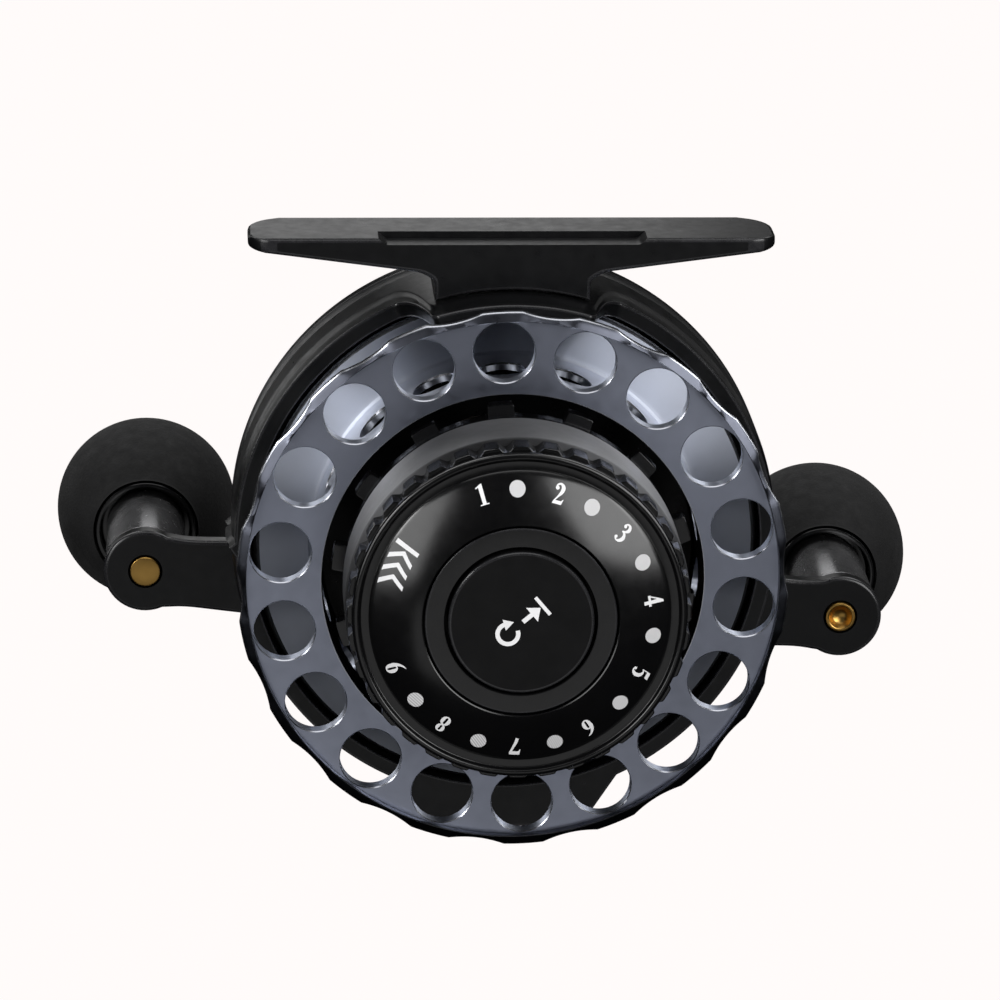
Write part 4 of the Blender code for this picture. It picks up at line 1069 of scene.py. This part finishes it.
def on_dial(built, angle, middle, face_y=cone_y):
    """Wraps a flat mark onto the dial, its top outwards, at an angle from the right going up."""
    for vert in built.verts:
        across, depth, up = vert.co
        radius = middle + up
        turn_of = math.radians(angle) - across / middle
        y = face_y(radius) + depth
        vert.co = (radius * math.cos(turn_of), y, radius * math.sin(turn_of))
    return built


def build_marks():
    first, pitch, middle, size = 107.2, 33.15, 15.55, 2.3
    first_dot, dot_pitch = 92.0, 33.3
    digits = numerals()
    marks, dots = [], []
    for number in range(1, 10):
        flat = flat_mark(digits[number], size, 0.6, 0.05, 0.03)
        marks.append(on_dial(flat, first - pitch * (number - 1), middle))
    for number in range(8):
        flat = flat_mark([circle(0.5, 40, (0.0, 0.5))], 1.85, 0.0, 0.05, 0.03)
        dots.append(on_dial(flat, first_dot - dot_pitch * number, middle))
    marks.append(on_dial(flat_mark(slow_drop_mark(), 2.9, 1.86, 0.05, 0.03), 156.0, middle + 0.1))
    piece("dial_marks", merged(marks), [PRINT], "dial")
    piece("dial_dots", merged(dots), [PRINT_DOT], "dial")
    icon = flat_mark(reset_mark(), 3.0, 2.26, 0.05, 0.02)
    shifted(icon, spin=-40.0)
    shifted(icon, y=BUTTON_FRONT)
    piece("reset_mark", icon, [PRINT], "button")


# ---------------------------------------------------------------- handle and knobs

def arm_outline():
    neck = [(along, half) for along, half in ARM_WIDTHS[:-1]]
    start = 118.0
    opening = math.radians(start)
    first = (ARM_REACH + LOBE_RADIUS * math.cos(opening), LOBE_RADIUS * math.sin(opening))
    neck = smooth_line(neck + [ARM_WIDTHS[-1], first], 4)
    upper = [(p.x, p.y) for p in neck if p.x > 0.01]
    steps = 40
    for step in range(1, steps + 1):
        angle = math.radians(start - 2 * start * step / steps)
        upper.append((ARM_REACH + LOBE_RADIUS * math.cos(angle), LOBE_RADIUS * math.sin(angle)))
    lower = [(p.x, -p.y) for p in reversed(neck) if p.x > 0.01][1:]
    right = upper + lower
    left = [(-x, -z) for x, z in right]
    middle = ARM_WIDTHS[0][1]
    return [(0.0, middle)] + right + [(0.0, -middle)] + left


def build_arm():
    outline = arm_outline()
    edge = ((0.0, 0.46), (0.12, 0.2), (0.26, 0.07), (0.46, 0.0))
    levels = [(ARM_FRONT + y, depth) for y, depth in edge]
    levels += [(ARM_BACK - y, depth) for y, depth in reversed(edge)]
    sections = []
    for y, depth in levels:
        points = inset(outline, depth) if depth > 0.0 else outline
        sections.append([(x, y, z) for x, z in points])
    drills = [prism(circle(2.7, 48), ARM_FRONT - 1.0, ARM_BACK + 1.0)]
    for side in (-1, 1):
        pin_hole = circle(PIN_RADIUS + 0.25, 48, (side * ARM_REACH, 0.0))
        drills.append(prism(pin_hole, ARM_FRONT - 1.0, ARM_BACK + 1.0))
    edges = (0, 1, 2, len(levels) - 4, len(levels) - 3, len(levels) - 2)
    return piece("arm_body", skin(sections, 0, edges), [BLACK, BLACK_EDGE], "handle", HANDLE, ("handle_arm",),
                 cuts=[merged(drills)])


def build_shaft():
    shaft = [
        (0.0, 19.9), (3.0, 19.9, 0.3, 0), (3.0, ARM_FRONT - 0.3, 0.2, 0), (2.4, ARM_FRONT - 0.3, 0.05, 0),
        (2.4, ARM_BACK + 3.7),
    ]
    for step in range(6):
        y = ARM_BACK + 3.75 + step * 0.08
        shaft.append((2.4 if step % 2 else 2.28, y))
    shaft += [(2.4, 46.8, 0.4, 0), (0.0, 46.8)]
    piece("shaft_body", turn(shaft, 64, False), [STEEL], "handle", HANDLE, ("handle_shaft",))
    washer = [(2.7, ARM_BACK + 0.15, 0.08, 0), (5.2, ARM_BACK + 0.15, 0.15, 0),
              (5.2, ARM_BACK + 0.95, 0.2, 0), (2.7, ARM_BACK + 0.95, 0.1, 0)]
    piece("washer_body", turn(washer, 96), [STEEL], "handle", HANDLE, ("handle_washer",))
    corner_at = ARM_BACK + 1.2
    top = ARM_BACK + 3.6

    def hex_at(angle):
        off = abs((angle + 30.0) % 60.0 - 30.0)
        flat = 4.4 * math.cos(math.radians(30.0))
        radius = flat / math.cos(math.radians(30.0 - off)) if off < 30.0 else 4.4
        chamfer = max(0.0, radius - flat) * 0.55
        return [(2.7, corner_at, 0), (radius - 0.1, corner_at, 0), (radius, corner_at + 0.12, 0),
                (radius, top - 0.1 - chamfer, 0), (min(radius, flat + 0.02), top, 0), (2.95, top, 0),
                (2.7, top - 0.25, 0)]

    piece("nut_body", lathe(hex_at, even(96)), [BRASS], "handle", HANDLE, ("handle_nut",),
          sharp=18.0)


def knob_profile():
    bore = PIN_RADIUS + 0.55
    recess = 62.2
    corners = [(KNOB_MOUTH, recess, 0.2, 0), (KNOB_MOUTH, KNOB_MOUTH_Y, 0.5, 0)]
    for step in range(35):
        share = -0.8 + 0.05 * step
        reach = KNOB_FRONT_REACH if share < 0.0 else KNOB_RADIUS
        corners.append((KNOB_RADIUS * math.sqrt(1.0 - share**2), KNOB_MIDDLE + share * reach, 0.0, 0))
    corners += [(5.0, KNOB_TAIL_Y - 0.05, 0.6, 0), (3.6, KNOB_TAIL_Y - 0.05, 0.4, 0),
                (3.6, KNOB_TAIL_Y - 1.8, 0.1, 0), (bore, KNOB_TAIL_Y - 1.8, 0.1, 0), (bore, recess, 0.1, 0)]
    return corners


def build_knob(side, name):
    place = HANDLE @ Matrix.Translation((side * ARM_REACH * MM, 0.0, 0.0))
    body = f"knob_{name}"
    pin_front = ARM_FRONT - 0.25
    pin = [(0.0, pin_front)]
    if side > 0:
        pin = [
            (0.0, pin_front + 1.1), (PIN_RADIUS * 0.5, pin_front + 0.85, 0.3, 0),
            (PIN_RADIUS * 0.78, pin_front, 0.12, 0),
        ]
    pin += [
        (PIN_RADIUS, pin_front, 0.24, 0), (PIN_RADIUS, KNOB_TAIL_Y - 1.4, 0.2, 0),
        (0.0, KNOB_TAIL_Y - 1.4),
    ]
    piece(f"pin_{name}_fine", turn(pin, 64, False), [BRASS], "handle", place, (f"knob_pin_{name}",))
    cap = [(0.0, KNOB_TAIL_Y - 1.1), (3.2, KNOB_TAIL_Y - 1.1, 0.1, 0), (3.2, KNOB_TAIL_Y, 0.5, 0),
           (1.2, KNOB_TAIL_Y, 0.1, 0), (1.0, KNOB_TAIL_Y - 0.2), (0.0, KNOB_TAIL_Y - 0.2)]
    piece(f"knob_cap_{name}_fine", turn(cap, 64, False), [COLLAR], "handle", place,
          (f"knob_cap_{name}",))
    bore = PIN_RADIUS + 0.3
    collar = [
        (bore, ARM_BACK + 0.3, 0.1, 0), (COLLAR_RADIUS, ARM_BACK + 0.3, 0.4, 0),
        (COLLAR_RADIUS, COLLAR_BACK, 0.5, 0), (bore, COLLAR_BACK, 0.1, 0),
    ]
    piece(f"collar_{name}_fine", turn(collar, 96), [COLLAR], body, place,
          (f"knob_collar_{name}",))
    cup = [
        (KNOB_MOUTH - 0.3, 61.9, 0.2, 0), (bore, 61.9, 0.1, 0), (bore, 60.9, 0.1, 0),
        (KNOB_MOUTH - 1.0, 60.9, 0.3, 0), (KNOB_MOUTH - 0.85, KNOB_MOUTH_Y + 0.1, 0.16, 0),
        (KNOB_MOUTH - 0.3, KNOB_MOUTH_Y + 0.1, 0.16, 0),
    ]
    piece(f"cup_{name}_fine", turn(cup, 96), [GLOSS], body, place, (f"knob_cup_{name}",))
    grip = piece(f"foam_grip_{name}", turn(knob_profile(), 96), [FOAM], body, place,
                 (f"knob_grip_{name}",))


# ---------------------------------------------------------------- stage

def softbox(name, azimuth, elevation, distance, width, height, radiance, colour=(1.0, 1.0, 1.0)):
    """A rectangular light that faces the reel from a direction; azimuth 0 is in front."""
    light = bpy.data.lights.new(name, "AREA")
    light.shape = "RECTANGLE"
    light.size, light.size_y = width, height
    light.energy = radiance * math.pi * width * height
    light.color = colour
    made = bpy.data.objects.new(name, light)
    bpy.context.scene.collection.objects.link(made)
    a, e = math.radians(azimuth), math.radians(elevation)
    back = Vector((math.sin(a) * math.cos(e), -math.cos(a) * math.cos(e), math.sin(e)))
    made.location = REEL.translation + back * distance
    made.rotation_mode = "QUATERNION"
    made.rotation_quaternion = back.to_track_quat("Z", "Y")
    made.visible_camera = False
    return made


def build_stage():
    softbox("key_left", -44, 16, 0.9, 0.5, 0.62, 2.8)
    softbox("key_right", 41, 22, 0.9, 0.68, 0.66, 3.6)
    softbox("side_left", -66, 27, 0.9, 0.18, 0.3, 10.0)
    softbox("side_right", 64, 24, 0.9, 0.2, 0.4, 3.0)
    softbox("top", 0, 78, 0.8, 0.7, 0.5, 1.2)
    softbox("low_front", -6, -22, 0.3, 0.24, 0.12, 0.42)
    softbox("rim_left", -150, 12, 0.9, 0.12, 0.5, 1.5)
    softbox("rim_right", 152, 12, 0.9, 0.12, 0.5, 0.2)
    softbox("behind", 180, 14, 0.9, 0.2, 0.5, 0.8)
    softbox("rear_left", 215, 48, 0.9, 0.5, 0.4, 3.0)
    softbox("rear_right", 140, 48, 0.9, 0.5, 0.4, 3.0)

    world = bpy.data.worlds.new("studio")
    bpy.context.scene.world = world
    world.use_nodes = True
    back = world.node_tree.nodes["Background"]
    back.inputs["Color"].default_value = (1.0, 0.985, 0.98, 1.0)
    back.inputs["Strength"].default_value = 0.3
    world.cycles_visibility.glossy = False

    built = bmesh.new()
    half, height = 6.0, cad_box[0].z - 0.04
    corners = [(-half, -half), (half, -half), (half, half), (-half, half)]
    built.faces.new([built.verts.new((x, y, height)) for x, y in corners])
    mesh = bpy.data.meshes.new("floor")
    built.to_mesh(mesh)
    built.free()
    paint = bpy.data.materials.new("pale_floor")
    paint.use_nodes = True
    shader = paint.node_tree.nodes["Principled BSDF"]
    shader.inputs["Base Color"].default_value = (0.01, 0.01, 0.01, 1.0)
    shader.inputs["Roughness"].default_value = 1.0
    shader.inputs["Specular IOR Level"].default_value = 0.0
    shader.inputs["Emission Color"].default_value = (1.0, 0.96, 0.95, 1.0)
    shader.inputs["Emission Strength"].default_value = 0.995
    mesh.materials.append(paint)
    floor = bpy.data.objects.new("floor", mesh)
    bpy.context.scene.collection.objects.link(floor)
    floor.visible_glossy = False
    floor.visible_diffuse = False
    bpy.context.scene.view_settings.view_transform = "Standard"


def build_camera():
    """The view the reel is shown in: from the front, a little to the left and above."""
    azimuth, elevation, roll, distance = math.radians(-3.2), math.radians(15.4), math.radians(0.64), 0.69
    pixels_per_metre = 8490.0
    look_at = REEL @ Vector((-1.65 * MM, 0.0, 9.8 * MM))
    back = Vector((math.sin(azimuth) * math.cos(elevation), -math.cos(azimuth) * math.cos(elevation),
                   math.sin(elevation)))
    right = Vector((0.0, 0.0, 1.0)).cross(back).normalized()
    up = back.cross(right)
    tilted_right = right * math.cos(roll) + up * math.sin(roll)
    tilted_up = up * math.cos(roll) - right * math.sin(roll)
    data = bpy.data.cameras.new("camera")
    data.sensor_width = 36.0
    data.lens = pixels_per_metre * distance / 1000.0 * 36.0
    data.clip_start, data.clip_end = 0.05, 30.0
    made = bpy.data.objects.new("camera", data)
    bpy.context.scene.collection.objects.link(made)
    rotation = Matrix((tilted_right, tilted_up, back)).transposed().to_4x4()
    made.matrix_world = Matrix.Translation(look_at + back * distance) @ rotation
    bpy.context.scene.camera = made


def finish_inner_nodes():
    """The machined parts that stay as the model has them get their finishes."""
    steel = ("spindle", "shaft_bearing_front", "shaft_bearing_rear", "pressure_plate", "brake_plate",
             "backing_plate", "spool_bearing_front", "spool_bearing_rear", "pinion", "dial_spring")
    surfaces = dict.fromkeys(steel, STEEL)
    surfaces |= dict.fromkeys(("foot_screw_1", "foot_screw_2", "dial_hub"), BLACK_TURNED)
    surfaces |= dict.fromkeys(("friction_disc_front", "friction_disc_rear"), FIBRE)
    surfaces["drive_gear"] = BRASS
    for name, surface in surfaces.items():
        mesh = frame["nodes"][name].data
        mesh.materials.clear()
        mesh.materials.append(surface)


build_spool()
build_frame()
build_cover()
build_screws()
build_foot()
build_drum()
build_lug_ring()
build_dial_cap()
build_grip()
build_guide()
build_button()
build_button_spring()
build_marks()
build_arm()
build_shaft()
for side, name in ((-1, "left"), (1, "right")):
    build_knob(side, name)
finish_inner_nodes()
build_stage()
build_camera()
